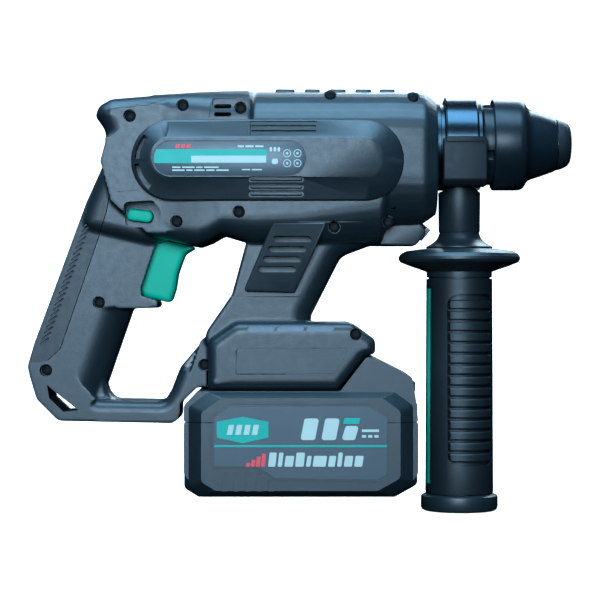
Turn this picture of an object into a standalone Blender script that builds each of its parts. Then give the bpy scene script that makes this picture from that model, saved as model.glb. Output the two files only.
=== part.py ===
"""Cordless rotary hammer with a D-handle, a slide battery and a side handle.

+X points to the chuck, +Z up, and the origin is the middle of the battery's flat base.
"""

import math

import bmesh
import bpy
from mathutils import Matrix, Vector

MM = 0.001
GAP = 0.3 * MM                      # clearance between pieces that touch
WALL = 2.5 * MM                     # housing wall

# drive line, all axes along X in the plane Y = 0
SPINDLE_Z = 170.3 * MM
COUNTER_Z = 143.3 * MM
MOTOR_Z = 161.3 * MM
MOTOR_PINION_TEETH = 8
COUNTER_GEAR_TEETH = 32
MOTOR_MODULE = 0.9 * MM             # (8 + 32) * 0.9 / 2 = 18, the motor axis above the countershaft
COUNTER_PINION_TEETH = 12
SPINDLE_GEAR_TEETH = 42
SPINDLE_MODULE = 1.0 * MM           # (12 + 42) * 1.0 / 2 = 27, the spindle above the countershaft
BIT_RADIUS = 5.05 * MM
WOBBLE_X = 4 * MM

# half widths across Y
BODY_HALF = 33 * MM
BULGE_HALF = 38 * MM
HANDLE_HALF = 16 * MM
SHOULDER_HALF = 20 * MM
LEG_HALF = 21.5 * MM
FOOT_HALF = 34.5 * MM
BATTERY_HALF = 37.5 * MM

# side handle
HANDLE_X = 79.6 * MM
COLLAR_RADIUS = 22.3 * MM
FLANGE_RADIUS = 30.3 * MM
INLAY_TURN = math.radians(24.5)
SWING_CLEAR = 50.6 * MM             # the nose stays inside this radius so that the hand guard passes
NOSE_X = 47 * MM                    # where the nose begins
KNOB_CENTRE = (24 * MM, 153 * MM)   # mode knob, on the left side
KNOB_BOSS = 16.5 * MM

COLOURS = {
    "shell": ((0.030, 0.040, 0.048, 1), 0.45, 0.0),
    "rubber": ((0.016, 0.020, 0.024, 1), 0.8, 0.0),
    "green": ((0.0, 0.42, 0.26, 1), 0.4, 0.0),
    "dark_steel": ((0.05, 0.06, 0.07, 1), 0.35, 1.0),
    "steel": ((0.45, 0.47, 0.5, 1), 0.3, 1.0),
    "aluminium": ((0.32, 0.34, 0.36, 1), 0.4, 1.0),
    "brass": ((0.7, 0.5, 0.2, 1), 0.3, 1.0),
    "board": ((0.02, 0.14, 0.06, 1), 0.5, 0.0),
    "label": ((0.12, 0.2, 0.24, 1), 0.4, 0.0),
    "lens": ((0.8, 0.85, 0.9, 1), 0.1, 0.0),
    "cell": ((0.05, 0.25, 0.5, 1), 0.4, 0.0),
}

for old in list(bpy.data.objects):
    bpy.data.objects.remove(old)

parts = bpy.data.collections.new("rotary_hammer")
cutters = bpy.data.collections.new("cutters")
bpy.context.scene.collection.children.link(parts)
bpy.context.scene.collection.children.link(cutters)


# ---------------------------------------------------------------- tools

def finish_of(kind):
    """The material of one kind of surface, made once."""
    found = bpy.data.materials.get(kind)
    if found:
        return found
    colour, roughness, metallic = COLOURS[kind]
    material = bpy.data.materials.new(kind)
    material.use_nodes = True
    shader = material.node_tree.nodes["Principled BSDF"]
    shader.inputs["Base Color"].default_value = colour
    shader.inputs["Roughness"].default_value = roughness
    shader.inputs["Metallic"].default_value = metallic
    material.diffuse_color = colour
    return material


def put(obj, collection):
    for owner in list(obj.users_collection):
        owner.objects.unlink(obj)
    collection.objects.link(obj)


def piece(obj, name, kind):
    """Makes an object a named part with its own finish."""
    obj.name = name
    obj.data.name = name
    obj.data.materials.clear()
    obj.data.materials.append(finish_of(kind))
    put(obj, parts)
    return obj


def cutter(obj, name="cutter"):
    obj.name = name
    obj.hide_render = True
    obj.display_type = "WIRE"
    put(obj, cutters)
    return obj


def mm(points):
    return [tuple(value * MM for value in point) for point in points]


PLANES = {
    "XZ": Matrix.Rotation(math.radians(90), 4, "X"),                                   # normal along -Y
    "YZ": Matrix.Rotation(math.radians(90), 4, "Z") @ Matrix.Rotation(math.radians(90), 4, "X"),
}


def plate(loops, low, high, plane="XZ"):
    """Flat outlines, the first solid and the others holes, from low to high along the plane's normal."""
    curve = bpy.data.curves.new("plate", "CURVE")
    curve.dimensions = "2D"
    curve.fill_mode = "BOTH"
    curve.extrude = (high - low) / 2
    for loop in loops:
        spline = curve.splines.new("POLY")
        spline.points.add(len(loop) - 1)
        for point, (u, v) in zip(spline.points, loop):
            point.co = (u, v, 0, 1)
        spline.use_cyclic_u = True
    flat = bpy.data.objects.new("plate", curve)
    bpy.context.scene.collection.objects.link(flat)
    bpy.context.view_layer.update()
    mesh = bpy.data.meshes.new_from_object(flat.evaluated_get(bpy.context.evaluated_depsgraph_get()))
    bpy.data.objects.remove(flat)
    middle = (low + high) / 2
    normal = Vector((0, middle, 0)) if plane == "XZ" else Vector((middle, 0, 0))
    return welded(mesh, Matrix.Translation(normal) @ PLANES[plane])


def weld(mesh, place):
    """Joins a mesh's loose seams, puts it in its place and turns its faces outwards."""
    work = bmesh.new()
    work.from_mesh(mesh)
    bmesh.ops.remove_doubles(work, verts=work.verts, dist=0.001 * MM)
    bmesh.ops.dissolve_limit(work, angle_limit=0.002, verts=work.verts, edges=work.edges)
    work.transform(place)
    bmesh.ops.recalc_face_normals(work, faces=work.faces)
    if work.calc_volume(signed=True) < 0:
        bmesh.ops.reverse_faces(work, faces=work.faces)
    work.to_mesh(mesh)
    work.free()


def welded(mesh, place):
    """A flat outline's mesh made one closed body, as an object."""
    weld(mesh, place)
    obj = bpy.data.objects.new("solid", mesh)
    bpy.context.scene.collection.objects.link(obj)
    return obj


def box(low, high, soft=0.0):
    """A block between two corners, with edges rounded by soft."""
    size = [b - a for a, b in zip(low, high)]
    bpy.ops.mesh.primitive_cube_add(size=1, location=[(a + b) / 2 for a, b in zip(low, high)])
    obj = bpy.context.object
    obj.scale = size
    bpy.ops.object.transform_apply(location=True, rotation=False, scale=True)
    if soft:
        round_edges(obj, soft)
    return obj


def rod(start, end, radius, sides=24):
    """A cylinder from one point to another."""
    start, end = Vector(start), Vector(end)
    bpy.ops.mesh.primitive_cylinder_add(vertices=sides, radius=radius, depth=(end - start).length)
    obj = bpy.context.object
    turn = Vector((0, 0, 1)).rotation_difference(end - start).to_matrix().to_4x4()
    obj.data.transform(Matrix.Translation((start + end) / 2) @ turn)
    return obj


def turned(profile, centre, along="X", sides=32):
    """A (radius, distance) profile, top to bottom down its outer side, spun about an axis through centre."""
    mesh = bpy.data.meshes.new("turned")
    points = [(radius, 0, distance) for radius, distance in profile]
    closed = profile[0][0] > 0
    edges = [(i, i + 1) for i in range(len(points) - 1)]
    if closed:
        edges.append((len(points) - 1, 0))
    mesh.from_pydata(points, edges, [])
    obj = bpy.data.objects.new("turned", mesh)
    bpy.context.scene.collection.objects.link(obj)
    screw = obj.modifiers.new("spin", "SCREW")
    screw.steps = sides
    screw.render_steps = sides
    screw.use_merge_vertices = True
    screw.merge_threshold = 0.005 * MM
    applied(obj)
    turn = {"X": Matrix.Rotation(math.radians(90), 4, "Y"), "Z": Matrix.Identity(4)}[along]
    weld(obj.data, Matrix.Translation(centre) @ turn)
    for polygon in obj.data.polygons:
        polygon.use_smooth = True
    obj.data.set_sharp_from_angle(angle=math.radians(35))
    return obj


def applied(obj):
    """Bakes an object's modifiers into its mesh."""
    bpy.context.view_layer.update()
    mesh = bpy.data.meshes.new_from_object(obj.evaluated_get(bpy.context.evaluated_depsgraph_get()))
    obj.modifiers.clear()
    obj.data = mesh
    return obj


def round_edges(obj, width, segments=2, angle=40):
    bevel = obj.modifiers.new("soft edges", "BEVEL")
    bevel.width = width
    bevel.segments = segments
    bevel.limit_method = "ANGLE"
    bevel.angle_limit = math.radians(angle)
    return applied(obj)


def combine(obj, other, operation):
    step = obj.modifiers.new(operation.lower(), "BOOLEAN")
    step.operation = operation
    step.solver = "EXACT"
    step.object = other
    applied(obj)
    bpy.data.objects.remove(other)
    return obj


def join(obj, *others):
    for other in others:
        combine(obj, other, "UNION")
    return obj


def cut(obj, *others):
    for other in others:
        combine(obj, cutter(other), "DIFFERENCE")
    return obj


def copy_of(obj):
    twin = obj.copy()
    twin.data = obj.data.copy()
    bpy.context.scene.collection.objects.link(twin)
    return twin


def inset(outline, distance):
    """The outline moved inwards by a distance; it runs anticlockwise."""
    moved = []
    count = len(outline)
    for i in range(count):
        before = Vector(outline[i - 1])
        here = Vector(outline[i])
        after = Vector(outline[(i + 1) % count])
        first = (here - before).normalized()
        second = (after - here).normalized()
        inward = Vector((-first.y, first.x)) + Vector((-second.y, second.x))
        reach = distance * 2 / max(inward.length_squared, 0.4)
        moved.append(tuple(here + inward * reach))
    return moved


def arc(centre, radius, start, end, steps):
    """Points on an arc, angles in degrees."""
    turns = [math.radians(start + (end - start) * i / steps) for i in range(steps + 1)]
    return [(centre[0] + radius * math.cos(a), centre[1] + radius * math.sin(a)) for a in turns]


def gear_outline(teeth, module, centre, first):
    """Trapezoid teeth round a centre; first is the angle of a tooth from +Z, in pitches."""
    root = module * (teeth / 2 - 1.2)
    tip = module * (teeth / 2 + 0.9)
    pitch = 2 * math.pi / teeth
    points = []
    for tooth in range(teeth):
        middle = math.pi / 2 + (tooth + first) * pitch
        for radius, offset in ((root, -0.22), (tip, -0.09), (tip, 0.09), (root, 0.22)):
            angle = middle + offset * pitch
            points.append((centre[0] + radius * math.cos(angle), centre[1] + radius * math.sin(angle)))
    return points


def gear(name, teeth, module, height, low, high, bore, first=0.0):
    """A spur gear on an axis along X at a height, with a round bore."""
    centre = (0, height)
    outline = gear_outline(teeth, module, centre, first)
    hole = arc(centre, bore, 0, 337.5, 15)
    return piece(plate([outline, hole], low, high, "YZ"), name, "steel")


def bearing(name, x, width, height, inner, outer):
    """A closed ball bearing on an axis along X."""
    profile = [(outer, width / 2), (outer, -width / 2), (inner, -width / 2), (inner, width / 2)]
    return piece(turned(profile, (x, 0, height), sides=20), name, "steel")


# ---------------------------------------------------------------- outlines in the plane Y = 0 (x, z)

BODY = mm([(-99, 182), (-96, 173), (-97, 160), (-100, 143), (-84, 121), (-70, 124), (-51, 118.6),
           (-46, 119.3), (-41, 125), (-24, 120.4), (58, 119.8), (67, 131), (67.5, 190.5), (62, 195.6),
           (-20, 196.2), (-92, 191.6)])
GRIP = mm([(-97.2, 162), (-104.5, 141), (-121.8, 93.8), (-129.7, 71.5), (-133.6, 60), (-133, 56),
           (-129.8, 43.5), (-119.1, 33.2), (-63, 32), (-59.2, 34.5), (-59.2, 41.5), (-51, 49.6),
           (-44, 50.5), (-40, 72), (-47.2, 74), (-59.2, 59.6), (-63.6, 48.3), (-67, 43), (-89.5, 44),
           (-95.8, 50.7), (-83.2, 86.2), (-70.5, 88.6), (-69.5, 90.6), (-77.3, 94.9), (-78, 99),
           (-69.6, 126), (-60, 140), (-60, 162)])
LEG = mm([(-24.5, 126), (-33.8, 95.1), (-44, 76), (6, 76), (5, 84), (21, 115), (24, 126)])
FOOT = mm([(-44.5, 49.1), (18.9, 49.1), (30.9, 65.2), (36.6, 66), (36.6, 72.9), (24.7, 81.5), (-31, 81.5),
           (-44.5, 73)])
LEG_HOLLOW = mm([(-24.5, 130), (-33.8, 95.1), (-44, 70), (8, 70), (5, 84), (21, 115), (24, 130)])
# left, right, bottom and top edge of the side pad's foot and of its flat face, and the corner radius
PAD_FOOT = (-81.7 * MM, 50.2 * MM, 140.7 * MM, 180.1 * MM, 19 * MM)
PAD_FACE = (-72.8 * MM, 39.8 * MM, 151.6 * MM, 171.2 * MM, 8.2 * MM)
PAD_HOLLOW = (-69 * MM, 35 * MM, 154.5 * MM, 168.5 * MM, 5 * MM)
PAD_FOOT_HALF = 33.6 * MM
# what is cut away beside the shoulder of the D-handle, and the same from the hollow
SHOULDER = mm([(-112, 104), (-71, 104), (-71, 127), (-78.5, 139.5), (-84, 149.5), (-112, 158)])
SHOULDER_HOLLOW = mm([(-112, 104), (-68.5, 104), (-68.5, 128), (-76.2, 141), (-82, 152.5), (-112, 161)])
GRIP_PAD = mm([(-97.2, 161), (-105.6, 141), (-123, 93.8), (-130.8, 71.5), (-134.8, 60), (-124.5, 62.5),
               (-117.6, 69), (-108, 97), (-94.6, 136), (-91.5, 152.5)])
PAD_CORE = mm([(-80, 170), (-94.6, 158), (-103.2, 141), (-120.6, 93.8), (-128.4, 71.5), (-132, 55),
               (-110, 55), (-100, 97), (-80, 136), (-70, 170)])
PAD_SEAT = mm([(-90, 162), (-96.9, 161.6), (-105.9, 141), (-123.3, 93.8), (-136, 71.5), (-136, 59),
               (-123.4, 61.8), (-117.2, 69), (-107.6, 97), (-94.2, 136), (-91.1, 152.5)])
PAD_SEAT_CORE = mm([(-80, 170), (-94.3, 158), (-102.9, 141), (-120.3, 93.8), (-128.1, 71.5), (-131, 50),
                    (-100, 50), (-90, 97), (-70, 136), (-70, 170)])
TRIGGER = mm([(-67.6, 123.6), (-60, 120.6), (-51.3, 119), (-56.6, 116), (-60.4, 106), (-61.6, 99),
              (-63.9, 92.6), (-77, 95.4), (-83, 98), (-83, 119), (-78, 123)])


# ---------------------------------------------------------------- housing

def rounded_bar(left, right, bottom, top, radius, steps=4):
    """A flat bar with one fully round end on the left and two round corners on the right."""
    middle = (bottom + top) / 2
    end = (top - bottom) / 2
    return (arc((left + end, middle), end, 90, 270, steps * 2)
            + arc((right - radius, bottom + radius), radius, 270, 360, steps)
            + arc((right - radius, top - radius), radius, 0, 90, steps))


def side_pad():
    """The raised pads over motor and gears, sloping in from a wide foot to a flat face on both sides."""
    foot, face = rounded_bar(*PAD_FOOT), rounded_bar(*PAD_FACE)
    levels = ((-BULGE_HALF, face), (-PAD_FOOT_HALF, foot), (PAD_FOOT_HALF, foot), (BULGE_HALF, face))
    points = [(x, y, z) for y, outline in levels for x, z in outline]
    count = len(foot)
    faces = [tuple(range(count)), tuple(range(3 * count, 4 * count))]
    for level in range(len(levels) - 1):
        for i in range(count):
            low, after = level * count + i, level * count + (i + 1) % count
            faces.append((low, after, after + count, low + count))
    mesh = bpy.data.meshes.new("side_pad")
    mesh.from_pydata(points, [], faces)
    return welded(mesh, Matrix.Identity(4))


def beside_handle(outline, half):
    """Blocks on both sides of the handle's shoulder, outside a half width."""
    right = plate([outline], -BULGE_HALF - GAP, -half)
    return join(right, plate([outline], half, BULGE_HALF + GAP))


def housing_shell():
    """Both halves in one: barrel, side pads, D-handle, leg and foot round one hollow."""
    shell = round_edges(plate([BODY], -BODY_HALF, BODY_HALF), 8 * MM, 3)
    cut(shell, beside_handle(SHOULDER, SHOULDER_HALF))
    grip = round_edges(plate([GRIP], -HANDLE_HALF, HANDLE_HALF), 5 * MM)
    leg = round_edges(plate([LEG], -LEG_HALF, LEG_HALF), 5 * MM)
    foot = round_edges(plate([FOOT], -FOOT_HALF, FOOT_HALF), 3 * MM)
    return join(shell, side_pad(), grip, leg, foot)


def housing_hollow():
    """The space inside, as one solid."""
    inner = plate([inset(BODY, WALL)], WALL - BODY_HALF, BODY_HALF - WALL)
    inner = round_edges(inner, 6 * MM, 2)
    cut(inner, nose_trim(SWING_CLEAR - WALL, NOSE_X - WALL),
        beside_handle(SHOULDER_HOLLOW, SHOULDER_HALF - WALL))
    pads = plate([rounded_bar(*PAD_HOLLOW)], WALL - BULGE_HALF, BULGE_HALF - WALL)
    leg = plate([inset(LEG_HOLLOW, WALL)], WALL - LEG_HALF, LEG_HALF - WALL)
    foot = plate([inset(FOOT, WALL)], WALL - FOOT_HALF, FOOT_HALF - WALL)
    grip = plate([mm([(-96, 140), (-102, 124), (-111, 100), (-84, 92), (-83, 100), (-75, 126), (-66, 144)])],
                 -11 * MM, 11 * MM)
    return join(inner, pads, leg, foot, grip)


def nose_trim(radius, start):
    """Everything forward of start that stands outside a circle round the spindle."""
    profile = [(90 * MM, 80 * MM), (90 * MM, start), (radius, start), (radius, 80 * MM)]
    return turned(profile, (0, 0, SPINDLE_Z), sides=32)


def housing_cuts():
    """Openings for everything that passes through the shell."""
    yield rod((55 * MM, 0, SPINDLE_Z), (75 * MM, 0, SPINDLE_Z), 21.9 * MM, 32)
    trigger_well = mm([(-69, 91.9), (-50, 91.9), (-50, 124), (-66, 128.6), (-92, 126.6), (-92, 97),
                       (-78, 94.6)])
    yield plate([trigger_well], -9.6 * MM, 9.6 * MM)
    yield plate([button_outline(0.4 * MM)], -BODY_HALF, BODY_HALF)
    yield box((-46 * MM, -17 * MM, 45 * MM), (45 * MM, 17 * MM, 58 * MM))
    yield box((-46 * MM, -21.5 * MM, 52 * MM), (45 * MM, 21.5 * MM, 58 * MM))
    yield rod(along_lamp(-20 * MM), along_lamp(6 * MM), 4.2 * MM, 20)


def along_lamp(distance):
    """A point on the lamp's axis, square to the slope under the nose."""
    return (62.5 * MM + 0.78 * distance, 0, 125.4 * MM - 0.626 * distance)


def button_outline(margin=0.0):
    """The direction button, leaning 7 degrees."""
    half = (6.2 * MM + margin, 3.2 * MM + margin)
    lean = math.radians(-7)
    corners = [(-half[0], -half[1]), (half[0], -half[1]), (half[0], half[1]), (-half[0], half[1])]
    centre = (-78.7 * MM, 134.2 * MM)
    return [(centre[0] + u * math.cos(lean) - v * math.sin(lean),
             centre[1] + u * math.sin(lean) + v * math.cos(lean)) for u, v in corners]


def across(point, low, high, radius, sides=12):
    """A rod along Y through a point given as x and z."""
    return rod((point[0], low, point[1]), (point[0], high, point[1]), radius, sides)


def grip_pad():
    """Soft pad round the back of the D-handle."""
    pad = round_edges(plate([GRIP_PAD], -HANDLE_HALF - 0.6 * MM, HANDLE_HALF + 0.6 * MM), 4 * MM)
    cut(pad, plate([PAD_CORE], 2.4 * MM - HANDLE_HALF, HANDLE_HALF - 2.4 * MM))
    return pad


def make_housing():
    shell = housing_shell()
    cut(shell, housing_hollow(), nose_trim(SWING_CLEAR, NOSE_X), *housing_cuts())
    pocket = plate([PAD_SEAT], -HANDLE_HALF - 5 * MM, HANDLE_HALF + 5 * MM)
    cut(pocket, plate([PAD_SEAT_CORE], 2.7 * MM - HANDLE_HALF, HANDLE_HALF - 2.7 * MM))
    cut(shell, pocket)
    for place in SCREWS:
        cut(shell, across(place, -45 * MM, -12.3 * MM, 3.1 * MM),
            across(place, -15 * MM, 12.5 * MM, 1.8 * MM))
    left = copy_of(shell)
    cut(shell, box((-0.3, -GAP / 2, -0.1), (0.3, 0.1, 0.4)))
    cut(left, box((-0.3, -0.1, -0.1), (0.3, GAP / 2, 0.4)))
    join(left, across(KNOB_CENTRE, 31 * MM, BULGE_HALF, KNOB_BOSS, 28))
    cut(left, across(KNOB_CENTRE, 20 * MM, 60 * MM, 7.3 * MM, 24))
    piece(shell, "right_housing", "shell")
    piece(left, "left_housing", "shell")
    piece(grip_pad(), "grip_pad", "rubber")


SCREWS = mm([(-125, 59), (-97, 91.5), (-66.5, 38)])


def make_screws():
    """Pan-head screws that hold the halves together."""
    for number, place in enumerate(SCREWS, 1):
        screw = across(place, -15 * MM, -12.6 * MM, 2.7 * MM, 16)
        join(screw, across(place, -13 * MM, 11 * MM, 1.4 * MM, 10))
        cut(screw, across(place, -16 * MM, -14 * MM, 1.3 * MM, 6))
        piece(screw, f"housing_screw_{number}", "dark_steel")


# ---------------------------------------------------------------- motor and gears

def make_motor():
    outer, inner = 22.5 * MM, 13 * MM
    profile = [(outer, 16 * MM), (outer, -16 * MM), (inner, -16 * MM), (inner, 16 * MM)]
    piece(turned(profile, (-60 * MM, 0, MOTOR_Z), sides=24), "motor_stator", "dark_steel")
    magnet = rod((-74 * MM, 0, MOTOR_Z), (-46 * MM, 0, MOTOR_Z), 12 * MM, 20)
    shaft = rod((-90 * MM, 0, MOTOR_Z), (-24 * MM, 0, MOTOR_Z), 2.2 * MM, 16)
    tip = rod((-26 * MM, 0, MOTOR_Z), (-13.5 * MM, 0, MOTOR_Z), 1.4 * MM, 12)
    piece(join(magnet, shaft, tip), "motor_rotor", "steel")
    hub = turned([(8 * MM, 3 * MM), (8 * MM, -3 * MM), (2.5 * MM, -3 * MM), (2.5 * MM, 3 * MM)],
                 (-37 * MM, 0, MOTOR_Z), sides=24)
    for blade in range(9):
        angle = blade * 2 * math.pi / 9
        fin = box((-39.5 * MM, -0.6 * MM, 7 * MM), (-34.5 * MM, 0.6 * MM, 20 * MM))
        fin.data.transform(Matrix.Translation((0, 0, MOTOR_Z)) @ Matrix.Rotation(angle, 4, "X"))
        join(hub, fin)
    piece(hub, "cooling_fan", "shell")
    bearing("motor_rear_bearing", -85 * MM, 5 * MM, MOTOR_Z, 2.5 * MM, 6.5 * MM)
    bearing("motor_front_bearing", -27.5 * MM, 5 * MM, MOTOR_Z, 2.5 * MM, 7 * MM)
    gear("motor_pinion", MOTOR_PINION_TEETH, MOTOR_MODULE, MOTOR_Z, -22 * MM, -14 * MM, 1.4 * MM + GAP, 0.5)
    pads = rod((-88.6 * MM, 0, MOTOR_Z), (-82.2 * MM, 0, MOTOR_Z), 9.5 * MM, 24)
    cut(pads, rod((-90 * MM, 0, MOTOR_Z), (-80 * MM, 0, MOTOR_Z), 6.8 * MM, 24))
    piece(pads, "rear_bearing_cushion", "rubber")


def make_gear_train():
    shaft = rod((-29.5 * MM, 0, COUNTER_Z), (45 * MM, 0, COUNTER_Z), 3.6 * MM, 20)
    piece(shaft, "countershaft", "steel")
    inner = 3.6 * MM + GAP
    gear("countershaft_gear", COUNTER_GEAR_TEETH, MOTOR_MODULE, COUNTER_Z, -22 * MM, -14 * MM, inner)
    gear("countershaft_pinion", COUNTER_PINION_TEETH, SPINDLE_MODULE, COUNTER_Z, 24 * MM, 34 * MM, inner)
    bearing("countershaft_rear_bearing", -27.5 * MM, 4 * MM, COUNTER_Z, inner, 8 * MM)
    bearing("countershaft_front_bearing", 41.5 * MM, 5 * MM, COUNTER_Z, inner, 8 * MM)
    hub = [(math.sin(a) * 8.4 * MM, math.cos(a) * 8.4 * MM) for a in (0.5, 0.93, 1.36, 1.79, 2.21, 2.64)]
    hub = hub + [(inner, hub[-1][1]), (inner, hub[0][1])]
    piece(turned(hub, (WOBBLE_X, 0, COUNTER_Z), sides=18), "wobble_hub", "steel")
    ring = [(13 * MM, 4 * MM), (13 * MM, -4 * MM), (9 * MM, -4 * MM), (9 * MM, 4 * MM)]
    ring = turned(ring, (WOBBLE_X, 0, COUNTER_Z), sides=28)
    finger = rod((WOBBLE_X, 0, COUNTER_Z + 11 * MM), (WOBBLE_X, 0, SPINDLE_Z + 2 * MM), 2.2 * MM, 14)
    piece(join(ring, finger), "wobble_ring", "steel")
    plate_outline = mm([(-29, 126), (29, 126), (29, 186), (22, 190), (-22, 190), (-29, 186)])
    support = plate([plate_outline], -31 * MM, -24.6 * MM, "YZ")
    cut(support, rod((-40 * MM, 0, MOTOR_Z), (-20 * MM, 0, MOTOR_Z), 7.3 * MM, 24))
    cut(support, rod((-40 * MM, 0, COUNTER_Z), (-20 * MM, 0, COUNTER_Z), 8.3 * MM, 24))
    piece(support, "bearing_plate", "aluminium")


def make_hammer():
    """Piston, striker and impact bolt, in a row inside the spindle."""
    profile = mm([(0, 16), (6.6, 16), (6.6, 42), (9.2, 42), (9.2, -4), (0, -4)])
    piston = turned(profile, (0, 0, SPINDLE_Z), sides=28)
    slot = box((WOBBLE_X - 4.8 * MM, -3 * MM, SPINDLE_Z - 12 * MM),
               (WOBBLE_X + 4.8 * MM, 3 * MM, SPINDLE_Z + 12 * MM))
    piece(cut(piston, slot), "piston", "aluminium")
    piece(turned([(0, 48 * MM), (4 * MM, 48 * MM), (6.3 * MM, 44 * MM), (6.3 * MM, 26 * MM), (0, 26 * MM)],
                 (0, 0, SPINDLE_Z), sides=24), "striker", "steel")
    piece(turned([(0, 84 * MM), (4.5 * MM, 84 * MM), (4.5 * MM, 70 * MM), (6.3 * MM, 67 * MM),
                  (6.3 * MM, 62 * MM),
                  (4.5 * MM, 59 * MM), (0, 59 * MM)], (0, 0, SPINDLE_Z), sides=24), "impact_bolt", "steel")


def make_spindle():
    profile = [(9.5, 131), (9.5, 92), (12, 92), (12, 14), (9.5, 14), (9.5, 58), (6.6, 58), (6.6, 78),
               (BIT_RADIUS / MM, 80), (BIT_RADIUS / MM, 131)]
    spindle = turned(mm(profile), (0, 0, SPINDLE_Z), sides=24)
    for side in (-1, 1):
        cut(spindle, rod((112 * MM, 2 * side * MM, SPINDLE_Z), (112 * MM, 14 * side * MM, SPINDLE_Z),
                         3.5 * MM, 16))
    piece(spindle, "spindle", "steel")
    gear("spindle_gear", SPINDLE_GEAR_TEETH, SPINDLE_MODULE, SPINDLE_Z, 24 * MM, 34 * MM, 12 * MM + GAP, 0.5)
    for side, name in ((-1, "locking_ball_1"), (1, "locking_ball_2")):
        bpy.ops.mesh.primitive_uv_sphere_add(segments=10, ring_count=6, radius=3.1 * MM,
                                             location=(112 * MM, 8.4 * MM * side, SPINDLE_Z))
        ball = bpy.context.object
        piece(ball, name, "steel")
    ring = mm([(19.4, 97.5), (20, 96.9), (20, 90.4), (12.3, 90.4), (12.3, 92.3), (9.8, 92.3), (9.8, 97.5)])
    piece(turned(ring, (0, 0, SPINDLE_Z), sides=24), "chuck_ring", "dark_steel")
    cap = mm([(9, 135), (11, 134), (12.4, 131), (12.7, 127.9), (9.8, 127.9), (9.8, 131.3), (6, 131.3),
              (6, 135)])
    piece(turned(cap, (0, 0, SPINDLE_Z), sides=24), "nose_cap", "rubber")


def make_chuck_sleeve():
    outer = [(12.9, 127.4), (14.2, 125), (16.4, 118.5), (17.6, 114.4), (20.5, 112.6), (22.6, 110.4),
             (22.8, 109), (22.8, 96.2), (22.3, 95.6)]
    inner = [(20.4, 95.6), (20.4, 109), (11.9, 109), (11.9, 121), (9.9, 122.5), (9.9, 127.4)]
    piece(turned(mm(outer + inner), (0, 0, SPINDLE_Z), sides=28), "chuck_sleeve", "shell")
    spring = mm([(17, 108.7), (17, 97.8), (14, 97.8), (14, 108.7)])
    piece(turned(spring, (0, 0, SPINDLE_Z), sides=24), "sleeve_spring", "steel")


def make_gear_case():
    """Aluminium gear case: a flange inside the housing and the round collar in front of it."""
    collar = mm([(21.4, 90), (21.7, 89.5), (21.7, 87.8), (COLLAR_RADIUS / MM, 87.8),
                 (COLLAR_RADIUS / MM, 71.6), (20, 71.4), (20, 69.4), (21.4, 69.3), (21.4, 44.8),
                 (17, 44.8), (17, 84), (12.6, 84.2), (12.6, 90)])
    case = turned(collar, (0, 0, SPINDLE_Z), sides=28)
    flange = mm([(-26, 132), (26, 132), (28, 150), (28, 186), (22, 191.5), (-22, 191.5), (-28, 186),
                 (-28, 150)])
    face = plate([flange], 38 * MM, 46 * MM, "YZ")
    cut(face, rod((30 * MM, 0, SPINDLE_Z), (50 * MM, 0, SPINDLE_Z), 19 * MM, 24))
    cut(face, rod((30 * MM, 0, COUNTER_Z), (50 * MM, 0, COUNTER_Z), 8.3 * MM, 24))
    piece(join(case, face), "gear_case", "aluminium")
    bearing("spindle_bearing", 77 * MM, 9 * MM, SPINDLE_Z, 12.3 * MM, 16.7 * MM)
    piece(turned(mm([(16.7, 83.9), (16.7, 81.8), (12.3, 81.8), (12.3, 83.9)]), (0, 0, SPINDLE_Z), sides=28),
          "spindle_seal", "rubber")


# ---------------------------------------------------------------- controls

def make_controls():
    trigger = round_edges(plate([TRIGGER], -9 * MM, 9 * MM), 1.6 * MM)
    piece(trigger, "trigger", "green")
    switch = mm([(-108.6, 103.6), (-95, 103.6), (-95, 120.6), (-102, 120.6)])
    piece(plate([switch], -9 * MM, 9 * MM), "trigger_switch", "shell")
    spring = rod((-94.6 * MM, 0, 109 * MM), (-83.4 * MM, 0, 109 * MM), 3 * MM, 12)
    cut(spring, rod((-95 * MM, 0, 109 * MM), (-82 * MM, 0, 109 * MM), 2.2 * MM, 12))
    piece(spring, "trigger_spring", "steel")
    half = SHOULDER_HALF + 1 * MM
    slider = round_edges(plate([button_outline()], -half, half), 1 * MM)
    piece(slider, "direction_button", "green")
    knob = across(KNOB_CENTRE, 38.4 * MM, 44 * MM, 15 * MM, 24)
    bar = round_edges(box((9.5 * MM, 42 * MM, 149.6 * MM), (41 * MM, 47.5 * MM, 156.4 * MM)), 1.5 * MM)
    stem = across(KNOB_CENTRE, 30 * MM, 40 * MM, 6.9 * MM, 20)
    piece(join(knob, bar, stem), "mode_knob", "shell")
    fork = box((17 * MM, 26.4 * MM, 138 * MM), (20 * MM, 28.4 * MM, 162 * MM))
    join(fork, box((17.4 * MM, -7 * MM, 136.8 * MM), (19.6 * MM, 27 * MM, 149.8 * MM)))
    cut(fork, rod((10 * MM, 0, COUNTER_Z), (30 * MM, 0, COUNTER_Z), 4.4 * MM, 16))
    piece(fork, "shift_fork", "steel")
    board = box((-38 * MM, -28 * MM, 60.2 * MM), (10 * MM, 28 * MM, 68 * MM))
    piece(board, "control_board", "board")
    contacts = box((-36 * MM, -14 * MM, 58.4 * MM), (-12 * MM, 14 * MM, 59.9 * MM))
    for side in (-10, -3.5, 3.5, 10):
        join(contacts, box((-34 * MM, (side - 0.5) * MM, 54.6 * MM), (-16 * MM, (side + 0.5) * MM, 59 * MM)))
    piece(contacts, "terminal_block", "brass")
    piece(rod(along_lamp(-13 * MM), along_lamp(-1.4 * MM), 3.8 * MM, 16), "work_lamp", "shell")
    piece(rod(along_lamp(-1.1 * MM), along_lamp(0.3 * MM), 3.6 * MM, 16), "lamp_lens", "lens")


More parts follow.
